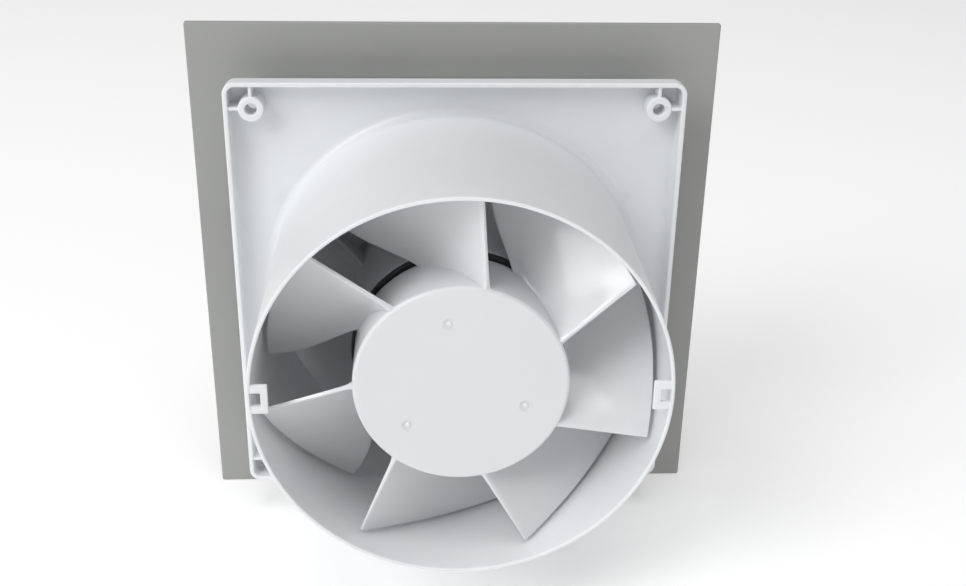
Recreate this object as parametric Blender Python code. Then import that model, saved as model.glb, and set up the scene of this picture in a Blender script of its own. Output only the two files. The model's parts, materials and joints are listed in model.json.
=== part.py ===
"""Slim axial extractor fan for a 125 mm duct, with a flat square decor panel.

The wall plane is Y = 0. The room is on the -Y side, the duct spigot points along +Y, and +Z is up.
The impeller's axis is the Y axis. Sizes below are in millimetres, and MM turns them into metres.
Angles are counted anticlockwise as seen from the duct side: 0 points to -X, 90 points up.
"""

import math

import bmesh
import bpy
from mathutils import Vector

MM = 0.001
WELD = 1e-6
GAP = 0.3  # clearance between pieces that touch or fit into each other
OVERLAP = 1.0  # how far a joined shape reaches into its neighbour

# Round pieces: sides of a full turn
FINE = 60
HUB_SIDES = 48
RING_SIDES = 40
MEDIUM = 32
BOSS_SIDES = 24
BUSH_SIDES = 20
TUBE_SIDES = 16
SMALL = 14
SCREW_SIDES = 10

# Decor panel and its carrier
PANEL_SIDE = 175.0
PANEL_THICK = 2.0
PANEL_BACK_Y = -21.6
PAD_LENGTH, PAD_WIDTH, PAD_THICK = 96.0, 6.0, 0.8
CARRIER_SIDE = 138.0
CARRIER_BORDER = 8.0  # the strip that the tape sticks to
CARRIER_THICK = 3.0
CARRIER_DISH = 1.4  # how deep its front is dished inside the border
CARRIER_CHAMFER = 4.5
CARRIER_BACK_Y = PANEL_BACK_Y + GAP + PAD_THICK + GAP + CARRIER_THICK
PEG_X, PEG_Z = 65.0, 20.0
PEG_RADIUS = 2.0
PEG_LENGTH = 7.0
PEG_TUBE_RADIUS = 4.0
PEG_TIP_LENGTH, PEG_TIP_TAPER = 1.0, 0.7
PANEL_EASE = 0.3

# Casing: a shallow square tray that is open to the wall, with the duct spigot in its middle
CASING_SIDE = 147.0
SKIRT_THICK = 1.5
SKIRT_DRAFT = 0.3
CORNER_RADIUS = 4.0
FRONT_FILLET = 4.0
TRAY_FLOOR_Y = -7.0
PLATE_FRONT_Y = -9.0
SPIGOT_RADIUS = 61.9
BORE_RADIUS = 60.7
SPIGOT_END_Y = 69.8
SPIGOT_FILLET = 3.0
BELL_RADIUS = 2.3
BOSS_PITCH = 129.6
BOSS_RADIUS = 4.1
BOSS_HOLE_RADIUS = 1.9
BOSS_TOP_Y = -0.2
SCREW_RECESS_RADIUS, SCREW_RECESS_DEPTH = 4.0, 0.9
RIB_THICK = 1.1
RIB_TOP_Y = -0.5
RIB_START = 3.0  # from the boss's axis
FLAP_SOCKET_DEPTH = 1.4
FLAP_SOCKET_INNER = 55.7
FLAP_SOCKET_HALF = 4.7
FLAP_SLOT_X, FLAP_SLOT_HALF = (-60.9, -57.8), 2.2
# How deep each shape reaches into the 2 mm plate
DRUM_SINK, BOSS_SINK, RIB_SINK = 0.6, 0.8, 1.2
TUBE_SINK, STUB_SINK, SEAT_SINK, PILOT_SINK = 0.8, 0.7, 0.6, 1.4

# Motor bracket: a cup on three arms at the inlet
ARM_ANGLES = (30.0, 150.0, 270.0)
CUP_RADIUS = 33.6
CUP_WALL = 1.9
CUP_FLOOR_FRONT_Y = -12.0
CUP_FLOOR_BACK_Y = -9.6
CUP_END_Y = 38.0
ARM_HALF_ROOT, ARM_HALF_TIP = 10.5, 9.5
ARM_FRONT_Y = -11.5
ARM_BACK_Y = PLATE_FRONT_Y - GAP
ARM_END = 69.2
ARM_RIB_X, ARM_RIB_HALF, ARM_RIB_HEIGHT = (-59.0, -30.9), 0.8, 2.8
GUSSET_X, GUSSET_TOP_Y = (-46.0, -32.3), 5.0
GUSSET_Z, GUSSET_HALF = 4.4, 0.7
FOOT_SCREW_R = 66.3
STUB_RADIUS = 2.8
PILOT_RADIUS = 1.5
SHANK_RADIUS = 1.2
HEAD_RADIUS = 3.4
HEAD_HEIGHT = 2.0
SCREW_TIP_Y = -8.4

# Motor: four-pole shaded-pole induction motor, with the rotor inside the stator
STACK_RADIUS = 29.4
STACK_FRONT_Y, STACK_BACK_Y = 8.0, 26.0
STACK_MID_Y = (STACK_FRONT_Y + STACK_BACK_Y) / 2
YOKE_INNER = 23.5
STATOR_BORE = 13.2
SHOE_OUTER = 16.3
POLE_HALF = 4.5
POLE_ANGLES = (0.0, 90.0, 180.0, 270.0)
BOLT_ANGLES = (45.0, 135.0, 225.0, 315.0)
BOLT_CIRCLE = 26.6
COIL_INNER, COIL_OUTER = 16.8, 21.4
COIL_HALF = 8.4
COIL_OVERHANG = 4.5
SHADING_ANGLE = 27.8  # from the pole's middle, towards the side that the rotor turns to
SLIT_ANGLE = 17.1
ROTOR_RADIUS = 12.7
SHAFT_RADIUS = 2.5
SHAFT_FRONT_Y, SHAFT_BACK_Y = -7.5, 57.7
SHAFT_FIT = SHAFT_RADIUS + GAP
BUSH_RADIUS = 6.0
MOTOR_POST_CIRCLE = 20.0
MOTOR_POST_ANGLES = (90.0, 210.0, 330.0)
LEAD_HOLE_RADIUS = 2.6
BRACKET_LEAD_R, FRONT_LEAD_R = 26.5, 19.0

# Impeller
HUB_RADIUS = 32.2
HUB_WALL = 1.6
HUB_FACE_Y = 62.9
HUB_OPEN_Y = 41.4
HUB_EDGE = 1.2
HUB_BOSS_RADIUS = 5.5
HUB_BOSS_Y = 44.0
DIMPLE_CIRCLE = 20.5
DIMPLE_ANGLES = (100.0, 220.0, 340.0)
BLADES = 7
BLADE_ROOT_RADIUS = 31.2  # inside the hub's wall
BLADE_TIP_RADIUS = 59.2
BLADE_BACK_Y = 62.2
BLADE_ROOT_FRONT_Y, BLADE_TIP_FRONT_Y = 43.0, 34.8
BLADE_ROOT_ANGLE, BLADE_TIP_ANGLE = 76.3, 84.5  # the first blade's back edge
BLADE_ROOT_SWEEP, BLADE_TIP_SWEEP = 34.0, 47.3
BLADE_FRONT_POWER = 2.7  # how soon the front edge turns towards its tip
BLADE_CAMBER = 0.62
BLADE_ROOT_THICK, BLADE_TIP_THICK = 1.7, 1.2
BLADE_SPANS, BLADE_CHORDS = 5, 8

# Electrical compartment, on the room side of the casing
BLOCK_X, BLOCK_Z = (-50.0, -40.0), (-70.0, -52.0)
BLOCK_FRONT_Y = -15.6
BLOCK_BACK_Y = PLATE_FRONT_Y - GAP
SEAT_THICK, SEAT_HALF, SEAT_FRONT_Y = 1.2, 1.5, -13.0
WELL_RADIUS, WELL_END_Y, WELL_HALF_PITCH, WELL_Z = 1.9, -11.4, 2.6, (-65.5, -56.5)
COVER_WALL = 1.0
COVER_FRONT_Y = -16.8
COVER_SCREW = (-47.5, -47.3)
GROMMET_SPOT = (-63.5, -34.0)
GROMMET_HOLE = 4.3
CLAMP_X, CLAMP_Z = (-66.0, -55.0), -45.0
CLAMP_THICK, CLAMP_END, CLAMP_HALF, CLAMP_GROOVE = 2.2, 3.0, 2.6, 0.9
EAR_THICK, EAR_REACH = 1.5, 3.2
FITTING_SCREW_HEAD = 2.6
LEAD_RADIUS = 0.8
LEAD_Y = -12.8


# ---- Materials ----------------------------------------------------------------------------------

def make_material(name, colour, roughness, metallic=0.0):
    material = bpy.data.materials.new(name)
    material.use_nodes = True
    shader = material.node_tree.nodes["Principled BSDF"]
    shader.inputs["Base Color"].default_value = (*colour, 1.0)
    shader.inputs["Roughness"].default_value = roughness
    shader.inputs["Metallic"].default_value = metallic
    return material


def make_materials():
    recipes = {
        "white_abs": ((0.80, 0.82, 0.83), 0.35, 0.0),
        "white_impeller": ((0.76, 0.77, 0.78), 0.38, 0.0),
        "grey_panel": ((0.37, 0.38, 0.37), 0.42, 0.0),
        "black_rubber": ((0.01, 0.01, 0.01), 0.60, 0.0),
        "lamination": ((0.25, 0.26, 0.28), 0.45, 1.0),
        "enamelled_copper": ((0.55, 0.20, 0.08), 0.35, 1.0),
        "copper": ((0.70, 0.34, 0.20), 0.30, 1.0),
        "die_cast": ((0.55, 0.56, 0.58), 0.40, 1.0),
        "bronze": ((0.45, 0.30, 0.14), 0.50, 1.0),
        "steel": ((0.60, 0.60, 0.62), 0.30, 1.0),
        "nylon": ((0.70, 0.68, 0.62), 0.50, 0.0),
        "foam_tape": ((0.06, 0.06, 0.06), 0.90, 0.0),
        "brown_wire": ((0.16, 0.06, 0.03), 0.45, 0.0),
        "blue_wire": ((0.03, 0.12, 0.45), 0.45, 0.0),
        "natural_polyamide": ((0.75, 0.74, 0.68), 0.45, 0.0),
    }
    return {name: make_material(name, *recipe) for name, recipe in recipes.items()}


# ---- Modelling helpers --------------------------------------------------------------------------

def spot(radius, degrees):
    """The (x, z) of a point at this radius and angle, as seen from the duct side."""
    return -radius * math.cos(math.radians(degrees)), radius * math.sin(math.radians(degrees))


def finish(name, bm, material):
    """Turns the bmesh into a linked, smooth-shaded object with its faces pointing out."""
    bmesh.ops.recalc_face_normals(bm, faces=bm.faces)
    mesh = bpy.data.meshes.new(name)
    bm.to_mesh(mesh)
    bm.free()
    mesh.shade_smooth()
    mesh.set_sharp_from_angle(angle=math.radians(35))
    mesh.materials.append(material)
    obj = bpy.data.objects.new(name, mesh)
    bpy.context.scene.collection.objects.link(obj)
    return obj


def turned(name, profile, material, sides=MEDIUM):
    """A solid of revolution about Y. A profile of (radius, y) that starts on the axis stays open there."""
    bm = bmesh.new()
    verts = [bm.verts.new((radius * MM, y * MM, 0.0)) for radius, y in profile]
    edges = [bm.edges.new(pair) for pair in zip(verts, verts[1:])]
    if profile[0][0] > 0:
        edges.append(bm.edges.new((verts[-1], verts[0])))
    bmesh.ops.spin(
        bm, geom=verts + edges, cent=(0, 0, 0), axis=(0, 1, 0),
        angle=math.tau, steps=sides, use_merge=True,
    )
    bmesh.ops.remove_doubles(bm, verts=bm.verts, dist=WELD)
    return finish(name, bm, material)


def lofted(name, rings, material, ring_shaped=False):
    """A solid through rings of equally many points, capped at its ends or joined end to end."""
    bm = bmesh.new()
    loops = [[bm.verts.new(Vector(point) * MM) for point in ring] for ring in rings]
    pairs = list(zip(loops, loops[1:]))
    if ring_shaped:
        pairs.append((loops[-1], loops[0]))
    else:
        bm.faces.new(loops[0])
        bm.faces.new(loops[-1])
    for near, far in pairs:
        for i, corner in enumerate(near):
            j = (i + 1) % len(near)
            bm.faces.new((corner, near[j], far[j], far[i]))
    return finish(name, bm, material)


def prism(name, outline, y_from, y_to, material):
    """An (x, z) outline extruded along Y."""
    rings = [[(x, y, z) for x, z in outline] for y in (y_from, y_to)]
    return lofted(name, rings, material)


def block(name, x_span, y_span, z_span, material):
    (x0, x1), (z0, z1) = x_span, z_span
    return prism(name, [(x0, z0), (x1, z0), (x1, z1), (x0, z1)], *y_span, material)


def cylinder(name, radius, y_span, material, sides=SMALL):
    y0, y1 = y_span
    return turned(name, [(0, y0), (radius, y0), (radius, y1), (0, y1)], material, sides)


def rounded_square(half_x, half_z, radius, steps):
    """The outline of a rectangle whose corners are arcs of so many steps, or chamfers with one."""
    outline = []
    for quarter, (sx, sz) in enumerate(((1, 1), (-1, 1), (-1, -1), (1, -1))):
        for step in range(steps + 1):
            angle = math.radians(90 * (quarter + step / steps))
            outline.append((
                sx * (half_x - radius) + radius * math.cos(angle),
                sz * (half_z - radius) + radius * math.sin(angle),
            ))
    return outline


def with_boolean(target, operation, helpers):
    for helper in helpers:
        helper.hide_render = True
        helper.display_type = "WIRE"
        modifier = target.modifiers.new(helper.name, "BOOLEAN")
        modifier.operation = operation
        modifier.solver = "EXACT"
        modifier.object = helper
    return target


def fuse(target, *helpers):
    return with_boolean(target, "UNION", helpers)


def cut(target, *helpers):
    return with_boolean(target, "DIFFERENCE", helpers)


def at(obj, x, z):
    obj.location = (x * MM, 0.0, z * MM)
    return obj


def swung(obj, degrees):
    """Turns an object made along -X to this angle about the fan's axis."""
    obj.rotation_euler.y = math.radians(degrees)
    return obj


def copy_of(obj, name):
    """Another object on the same mesh."""
    twin = bpy.data.objects.new(name, obj.data)
    bpy.context.scene.collection.objects.link(twin)
    return twin


def screws(name, spots, head_y, tip_y, material, head_radius=HEAD_RADIUS, shank_radius=SHANK_RADIUS):
    """Pan-head screws driven from the room side, one at each (x, z)."""
    crown = head_y - HEAD_HEIGHT
    profile = [
        (0, crown), (head_radius * 0.7, crown), (head_radius, head_y - HEAD_HEIGHT * 0.6),
        (head_radius, head_y), (shank_radius, head_y), (shank_radius, tip_y - 0.8), (0, tip_y),
    ]
    names = [name] if len(spots) == 1 else [f"{name}_{number}" for number in range(1, len(spots) + 1)]
    first = turned(names[0], profile, material, SCREW_SIDES)
    twins = [copy_of(first, twin) for twin in names[1:]]
    for screw, (x, z) in zip([first, *twins], spots):
        at(screw, x, z)


# ---- Casing -------------------------------------------------------------------------------------

def casing_tray(paint):
    """The plate and its skirt: up the inside wall, over the rim, down the outside, round the fillet."""
    half = CASING_SIDE / 2
    inside = half - SKIRT_THICK
    stations = [
        (inside - SKIRT_DRAFT, TRAY_FLOOR_Y), (inside, 0.0), (half, 0.0),
        (half, PLATE_FRONT_Y + FRONT_FILLET),
    ]
    for degrees in (30, 60, 90):
        angle = math.radians(degrees)
        stations.append((
            half - FRONT_FILLET * (1 - math.cos(angle)),
            PLATE_FRONT_Y + FRONT_FILLET * (1 - math.sin(angle)),
        ))
    rings = []
    for reach, y in stations:
        radius = max(CORNER_RADIUS - (half - reach), 0.6)
        rings.append([(x, y, z) for x, z in rounded_square(reach, reach, radius, 4)])
    return lofted("base_casing", rings, paint)


def spigot_body(paint):
    """The duct spigot as a solid drum, with the fillet where it leaves the plate."""
    centre_r, centre_y = SPIGOT_RADIUS + SPIGOT_FILLET, TRAY_FLOOR_Y + SPIGOT_FILLET
    seat_y = PLATE_FRONT_Y + DRUM_SINK
    profile = [(0, seat_y), (centre_r + 0.2, seat_y)]
    for degrees in (75, 50, 25, 0):
        angle = math.radians(degrees)
        profile.append((
            centre_r - SPIGOT_FILLET * math.cos(angle), centre_y - SPIGOT_FILLET * math.sin(angle),
        ))
    profile += [(SPIGOT_RADIUS, SPIGOT_END_Y - 0.3), (SPIGOT_RADIUS - 0.3, SPIGOT_END_Y), (0, SPIGOT_END_Y)]
    return turned("spigot_body", profile, paint, FINE)


def bore_cutter(paint):
    """The air path, with a bell mouth on the room side."""
    mouth = BORE_RADIUS + BELL_RADIUS
    profile = [(0, PLATE_FRONT_Y - OVERLAP), (mouth + 0.6, PLATE_FRONT_Y - OVERLAP)]
    for degrees in (20, 45, 70, 90):
        angle = math.radians(degrees)
        profile.append((
            mouth - BELL_RADIUS * math.sin(angle),
            PLATE_FRONT_Y + BELL_RADIUS * (1 - math.cos(angle)),
        ))
    profile += [(BORE_RADIUS, SPIGOT_END_Y + OVERLAP), (0, SPIGOT_END_Y + OVERLAP)]
    return turned("bore_cutter", profile, paint, FINE)


def add_corner_bosses(casing, paint):
    """Four bosses for the wall screws, each tied to both walls of its corner by a rib."""
    reach = BOSS_PITCH / 2
    wall = CASING_SIDE / 2 - SKIRT_THICK / 2
    rib_y = (PLATE_FRONT_Y + RIB_SINK, RIB_TOP_Y)
    for corner, (sx, sz) in enumerate(((1, 1), (-1, 1), (-1, -1), (1, -1)), 1):
        x, z = sx * reach, sz * reach
        boss_y = (PLATE_FRONT_Y + BOSS_SINK, BOSS_TOP_Y)
        boss = cylinder(f"boss_{corner}", BOSS_RADIUS, boss_y, paint, BOSS_SIDES)
        upright = block(
            f"upright_rib_{corner}", (x - RIB_THICK / 2, x + RIB_THICK / 2), rib_y,
            (z + sz * RIB_START, sz * wall), paint,
        )
        level = block(
            f"level_rib_{corner}", (x + sx * RIB_START, sx * wall), rib_y,
            (z - RIB_THICK / 2, z + RIB_THICK / 2), paint,
        )
        hole = cylinder(
            f"boss_hole_{corner}", BOSS_HOLE_RADIUS, (PLATE_FRONT_Y - OVERLAP, OVERLAP), paint,
        )
        recess = cylinder(
            f"screw_recess_{corner}", SCREW_RECESS_RADIUS,
            (PLATE_FRONT_Y - OVERLAP, PLATE_FRONT_Y + SCREW_RECESS_DEPTH), paint,
        )
        fuse(casing, at(boss, x, z), upright, level)
        cut(casing, at(hole, x, z), at(recess, x, z))


def add_flap_sockets(casing, paint):
    """Two small ears at the spigot's mouth, whose slots can take the pins of a back-draught flap."""
    back = SPIGOT_END_Y - 0.2
    for side, degrees in (("right", 0.0), ("left", 180.0)):
        socket = block(
            f"flap_socket_{side}", (-BORE_RADIUS - 0.6, -FLAP_SOCKET_INNER),
            (back - FLAP_SOCKET_DEPTH, back), (-FLAP_SOCKET_HALF, FLAP_SOCKET_HALF), paint,
        )
        slot = block(
            f"flap_slot_{side}", FLAP_SLOT_X, (back - FLAP_SOCKET_DEPTH - OVERLAP, back + OVERLAP),
            (-FLAP_SLOT_HALF, FLAP_SLOT_HALF), paint,
        )
        fuse(casing, swung(socket, degrees))
        cut(casing, swung(slot, degrees))


def add_front_fittings(casing, paint):
    """Room side: peg tubes for the panel, stubs for the bracket and clamps, and the block's seat."""
    peg_spots = [(sx * PEG_X, sz * PEG_Z) for sx in (1, -1) for sz in (1, -1)]
    for number, (x, z) in enumerate(peg_spots, 1):
        tube = cylinder(
            f"peg_tube_{number}", PEG_TUBE_RADIUS, (CARRIER_BACK_Y + GAP, PLATE_FRONT_Y + TUBE_SINK),
            paint, TUBE_SIDES,
        )
        hole = cylinder(
            f"peg_hole_{number}", PEG_RADIUS + GAP, (CARRIER_BACK_Y - OVERLAP, PLATE_FRONT_Y - 0.3), paint,
        )
        fuse(casing, at(tube, x, z))
        cut(casing, at(hole, x, z))
    stub_spots = [spot(FOOT_SCREW_R, degrees) for degrees in ARM_ANGLES]
    stub_spots += [(CLAMP_X[0], CLAMP_Z), (CLAMP_X[1], CLAMP_Z), COVER_SCREW]
    for number, (x, z) in enumerate(stub_spots, 1):
        stub = cylinder(f"stub_{number}", STUB_RADIUS, (ARM_FRONT_Y, PLATE_FRONT_Y + STUB_SINK), paint)
        pilot = cylinder(
            f"pilot_{number}", PILOT_RADIUS, (ARM_FRONT_Y - OVERLAP, PLATE_FRONT_Y + PILOT_SINK), paint,
        )
        fuse(casing, at(stub, x, z))
        cut(casing, at(pilot, x, z))
    middle_z = sum(BLOCK_Z) / 2
    for side, x in (("left", BLOCK_X[0] - GAP - SEAT_THICK), ("right", BLOCK_X[1] + GAP)):
        seat = block(
            f"block_seat_{side}", (x, x + SEAT_THICK), (SEAT_FRONT_Y, PLATE_FRONT_Y + SEAT_SINK),
            (middle_z - SEAT_HALF, middle_z + SEAT_HALF), paint,
        )
        fuse(casing, seat)
    cable_hole = cylinder(
        "cable_hole", GROMMET_HOLE, (PLATE_FRONT_Y - OVERLAP, TRAY_FLOOR_Y + OVERLAP), paint, TUBE_SIDES,
    )
    cut(casing, at(cable_hole, *GROMMET_SPOT))


def build_casing(paint):
    casing = casing_tray(paint)
    fuse(casing, spigot_body(paint))
    cut(casing, bore_cutter(paint))
    add_corner_bosses(casing, paint)
    add_flap_sockets(casing, paint)
    add_front_fittings(casing, paint)


# ---- Motor bracket ------------------------------------------------------------------------------

def add_arm(bracket, number, degrees, paint):
    """One flat arm with two edge ribs on the room side and two gussets against the cup."""
    root = CUP_RADIUS - CUP_WALL / 2
    outline = [
        (-root, -ARM_HALF_ROOT), (-ARM_END, -ARM_HALF_TIP),
        (-ARM_END, ARM_HALF_TIP), (-root, ARM_HALF_ROOT),
    ]
    plate = prism(f"arm_{number}", outline, ARM_FRONT_Y, ARM_BACK_Y, paint)
    fuse(bracket, swung(plate, degrees))
    far_x, near_x = GUSSET_X
    gusset_side = [
        (near_x, ARM_BACK_Y - 0.9), (far_x, ARM_BACK_Y - 0.9),
        (far_x + 0.6, ARM_BACK_Y + 0.6), (near_x, GUSSET_TOP_Y),
    ]
    for side, sign in (("a", 1), ("b", -1)):
        rib_z = sign * (ARM_HALF_TIP - 0.2 - ARM_RIB_HALF)
        rib = block(
            f"arm_rib_{number}{side}", ARM_RIB_X, (ARM_FRONT_Y - ARM_RIB_HEIGHT, ARM_BACK_Y - 1.1),
            (rib_z - ARM_RIB_HALF, rib_z + ARM_RIB_HALF), paint,
        )
        edges = (sign * GUSSET_Z - GUSSET_HALF, sign * GUSSET_Z + GUSSET_HALF)
        gusset = lofted(
            f"gusset_{number}{side}", [[(x, y, z) for x, y in gusset_side] for z in edges], paint,
        )
        fuse(bracket, swung(rib, degrees), swung(gusset, degrees))
    foot_hole = cylinder(
        f"foot_hole_{number}", STUB_RADIUS + GAP, (ARM_FRONT_Y - OVERLAP, ARM_BACK_Y + OVERLAP), paint,
    )
    cut(bracket, at(foot_hole, *spot(FOOT_SCREW_R, degrees)))


def build_bracket(paint):
    inner = CUP_RADIUS - CUP_WALL
    bracket = turned(
        "motor_bracket",
        [
            (0, CUP_FLOOR_FRONT_Y), (CUP_RADIUS - 1.0, CUP_FLOOR_FRONT_Y),
            (CUP_RADIUS, CUP_FLOOR_FRONT_Y + 1.0), (CUP_RADIUS - 0.3, CUP_END_Y),
            (inner, CUP_END_Y), (inner, CUP_FLOOR_BACK_Y), (0, CUP_FLOOR_BACK_Y),
        ],
        paint, FINE,
    )
    for number, degrees in enumerate(ARM_ANGLES, 1):
        add_arm(bracket, number, degrees, paint)
    floor_span = (CUP_FLOOR_FRONT_Y - OVERLAP, CUP_FLOOR_BACK_Y + OVERLAP)
    for number, degrees in enumerate(MOTOR_POST_ANGLES, 1):
        hole = cylinder(f"motor_hole_{number}", SHANK_RADIUS + GAP, floor_span, paint)
        cut(bracket, at(hole, *spot(MOTOR_POST_CIRCLE, degrees)))
    lead_hole = cylinder("bracket_lead_hole", LEAD_HOLE_RADIUS + 0.6, floor_span, paint)
    cut(bracket, at(lead_hole, *spot(BRACKET_LEAD_R, 270)))


# ---- Motor --------------------------------------------------------------------------------------

def build_stack(paint):
    """Yoke, four necks and four pole shoes. Each shoe has a slit for its shading ring."""
    y0, y1 = STACK_FRONT_Y, STACK_BACK_Y
    stack = turned(
        "stator_stack", [(YOKE_INNER, y0), (STACK_RADIUS, y0), (STACK_RADIUS, y1), (YOKE_INNER, y1)], paint,
    )
    shoes = turned(
        "pole_shoes",
        [(STATOR_BORE, y0 + 0.1), (SHOE_OUTER, y0 + 0.1), (SHOE_OUTER, y1 - 0.1), (STATOR_BORE, y1 - 0.1)],
        paint,
    )
    fuse(stack, shoes)
    through = (y0 - OVERLAP, y1 + OVERLAP)
    for number, degrees in enumerate(POLE_ANGLES, 1):
        neck = block(
            f"neck_{number}", (-YOKE_INNER - OVERLAP, -SHOE_OUTER + 1.2), (y0 + 0.2, y1 - 0.2),
            (-POLE_HALF, POLE_HALF), paint,
        )
        fuse(stack, swung(neck, degrees))
    for number, degrees in enumerate(BOLT_ANGLES, 1):
        slot = block(f"pole_slot_{number}", (-20.0, -10.0), through, (-2.5, 2.5), paint)
        bolt_hole = cylinder(f"stack_hole_{number}", 1.8, through, paint)
        cut(stack, swung(slot, degrees), at(bolt_hole, *spot(BOLT_CIRCLE, degrees)))
    for number, degrees in enumerate(POLE_ANGLES, 1):
        slit = block(f"shading_slit_{number}", (-15.4, -11.0), through, (-0.9, 0.9), paint)
        cut(stack, swung(slit, degrees + SLIT_ANGLE))


def radial_frame(name, r_span, half, hole_half, y_span, y_hole, paint):
    """A rectangular loop around something that points along -X, such as a pole."""
    rings = []
    for r, h, (y0, y1) in (
        (r_span[0], half, y_span), (r_span[1], half, y_span),
        (r_span[1], hole_half, y_hole), (r_span[0], hole_half, y_hole),
    ):
        rings.append([(-r, y0, -h), (-r, y0, h), (-r, y1, h), (-r, y1, -h)])
    return lofted(name, rings, paint, ring_shaped=True)


def build_windings(paints):
    hole = (STACK_FRONT_Y - 0.3, STACK_BACK_Y + 0.3)
    outer = (STACK_FRONT_Y - COIL_OVERHANG, STACK_BACK_Y + COIL_OVERHANG)
    ring_outer = (STACK_FRONT_Y - 1.5, STACK_BACK_Y + 1.5)
    for number, degrees in enumerate(POLE_ANGLES, 1):
        coil = radial_frame(
            f"stator_coil_{number}", (COIL_INNER, COIL_OUTER), COIL_HALF, POLE_HALF + GAP, outer, hole,
            paints["enamelled_copper"],
        )
        ring = radial_frame(
            f"shading_ring_{number}", (13.8, 15.0), 3.3, 2.1, ring_outer, hole, paints["copper"],
        )
        swung(coil, degrees)
        swung(ring, degrees + SHADING_ANGLE)


def mirrored_y(profile):
    """The same (radius, y) profile on the other side of the stack's middle plane."""
    return [(radius, 2 * STACK_MID_Y - y) for radius, y in reversed(profile)]


def build_end_brackets(paints):
    """Two die-cast end brackets that clamp the stack and carry the bushes."""
    bore = BUSH_RADIUS + GAP
    rim_y = STACK_FRONT_Y - GAP
    profile = [
        (bore, -4.0), (9.5, -4.0), (9.5, -1.2), (STACK_RADIUS - 0.6, -1.2), (STACK_RADIUS, -0.6),
        (STACK_RADIUS, rim_y), (23.8, rim_y), (23.8, 1.2), (9.5, 1.2), (9.5, 2.9), (bore, 2.9),
    ]
    front = turned("front_end_bracket", profile, paints["die_cast"])
    rear = turned("rear_end_bracket", mirrored_y(profile), paints["die_cast"])
    for number, degrees in enumerate(MOTOR_POST_ANGLES, 1):
        x, z = spot(MOTOR_POST_CIRCLE, degrees)
        post = cylinder(f"motor_post_{number}", 3.0, (CUP_FLOOR_BACK_Y + GAP, 0.2), paints["die_cast"])
        pilot = cylinder(f"post_pilot_{number}", PILOT_RADIUS, (-11.0, -2.4), paints["die_cast"])
        fuse(front, at(post, x, z))
        cut(front, at(pilot, x, z))
    for number, degrees in enumerate(BOLT_ANGLES, 1):
        x, z = spot(BOLT_CIRCLE, degrees)
        clear = cylinder(f"front_bolt_hole_{number}", 1.8, (-2.2, 9.0), paints["die_cast"])
        tapped = cylinder(f"rear_bolt_hole_{number}", 1.8, (25.0, 34.4), paints["die_cast"])
        cut(front, at(clear, x, z))
        cut(rear, at(tapped, x, z))
    lead_hole = cylinder("front_lead_hole", LEAD_HOLE_RADIUS, (-2.2, 2.2), paints["die_cast"])
    cut(front, at(lead_hole, *spot(FRONT_LEAD_R, 270)))

    bush = [(SHAFT_FIT, -3.8), (BUSH_RADIUS, -3.8), (BUSH_RADIUS, 2.7), (SHAFT_FIT, 2.7)]
    turned("front_bush", bush, paints["bronze"], BUSH_SIDES)
    turned("rear_bush", mirrored_y(bush), paints["bronze"], BUSH_SIDES)


def build_rotor(paints):
    """Shaft, squirrel-cage rotor, thrust washers and the clip at the shaft's front end."""
    turned(
        "shaft",
        [
            (0, SHAFT_FRONT_Y), (SHAFT_RADIUS - 0.5, SHAFT_FRONT_Y), (SHAFT_RADIUS, SHAFT_FRONT_Y + 0.5),
            (SHAFT_RADIUS, SHAFT_BACK_Y - 0.5), (SHAFT_RADIUS - 0.5, SHAFT_BACK_Y), (0, SHAFT_BACK_Y),
        ],
        paints["steel"], BUSH_SIDES,
    )
    core_front, core_back = STACK_FRONT_Y, STACK_BACK_Y
    cage = [
        (SHAFT_FIT, core_front), (7.5, core_front), (7.5, core_front - 2.0), (11.8, core_front - 2.0),
        (11.8, core_front), (ROTOR_RADIUS, core_front), (ROTOR_RADIUS, core_back), (11.8, core_back),
        (11.8, core_back + 2.0), (7.5, core_back + 2.0), (7.5, core_back), (SHAFT_FIT, core_back),
    ]
    turned("rotor", cage, paints["lamination"])
    washer = [(SHAFT_FIT, 3.2), (4.8, 3.2), (4.8, 7.7), (SHAFT_FIT, 7.7)]
    turned("front_thrust_washer", washer, paints["nylon"], BUSH_SIDES)
    turned("rear_thrust_washer", mirrored_y(washer), paints["nylon"], BUSH_SIDES)
    open_ring("shaft_clip", SHAFT_FIT, 4.9, (-5.1, -4.3), 280, paints["steel"])


def open_ring(name, inner, outer, y_span, degrees, paint):
    """A flat spring ring with a gap, such as a circlip."""
    steps = 16
    rings = []
    for step in range(steps + 1):
        angle = math.radians(degrees * step / steps)
        rings.append([
            (-radius * math.cos(angle), y, radius * math.sin(angle))
            for radius, y in (
                (inner, y_span[0]), (outer, y_span[0]), (outer, y_span[1]), (inner, y_span[1]),
            )
        ])
    return lofted(name, rings, paint)


def build_motor(paints):
    build_stack(paints["lamination"])
    build_windings(paints)
    build_end_brackets(paints)
    build_rotor(paints)
    bolt_spots = [spot(BOLT_CIRCLE, degrees) for degrees in BOLT_ANGLES]
    screws("stack_bolt", bolt_spots, -1.5, 33.9, paints["steel"], head_radius=2.7, shank_radius=1.5)
    mount_spots = [spot(MOTOR_POST_CIRCLE, degrees) for degrees in MOTOR_POST_ANGLES]
    screws("motor_screw", mount_spots, CUP_FLOOR_FRONT_Y - GAP, -3.0, paints["steel"], head_radius=3.0)
    inner = CUP_RADIUS - CUP_WALL - GAP
    turned(
        "damping_ring",
        [
            (24.5, 35.5), (inner, 35.5), (inner, CUP_END_Y + GAP), (CUP_RADIUS - 0.3, CUP_END_Y + GAP),
            (CUP_RADIUS - 0.3, 39.9), (CUP_RADIUS - 0.8, 40.4), (25.0, 40.4), (24.5, 39.9),
        ],
        paints["black_rubber"], RING_SIDES,
    )


# ---- Impeller -----------------------------------------------------------------------------------

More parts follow.
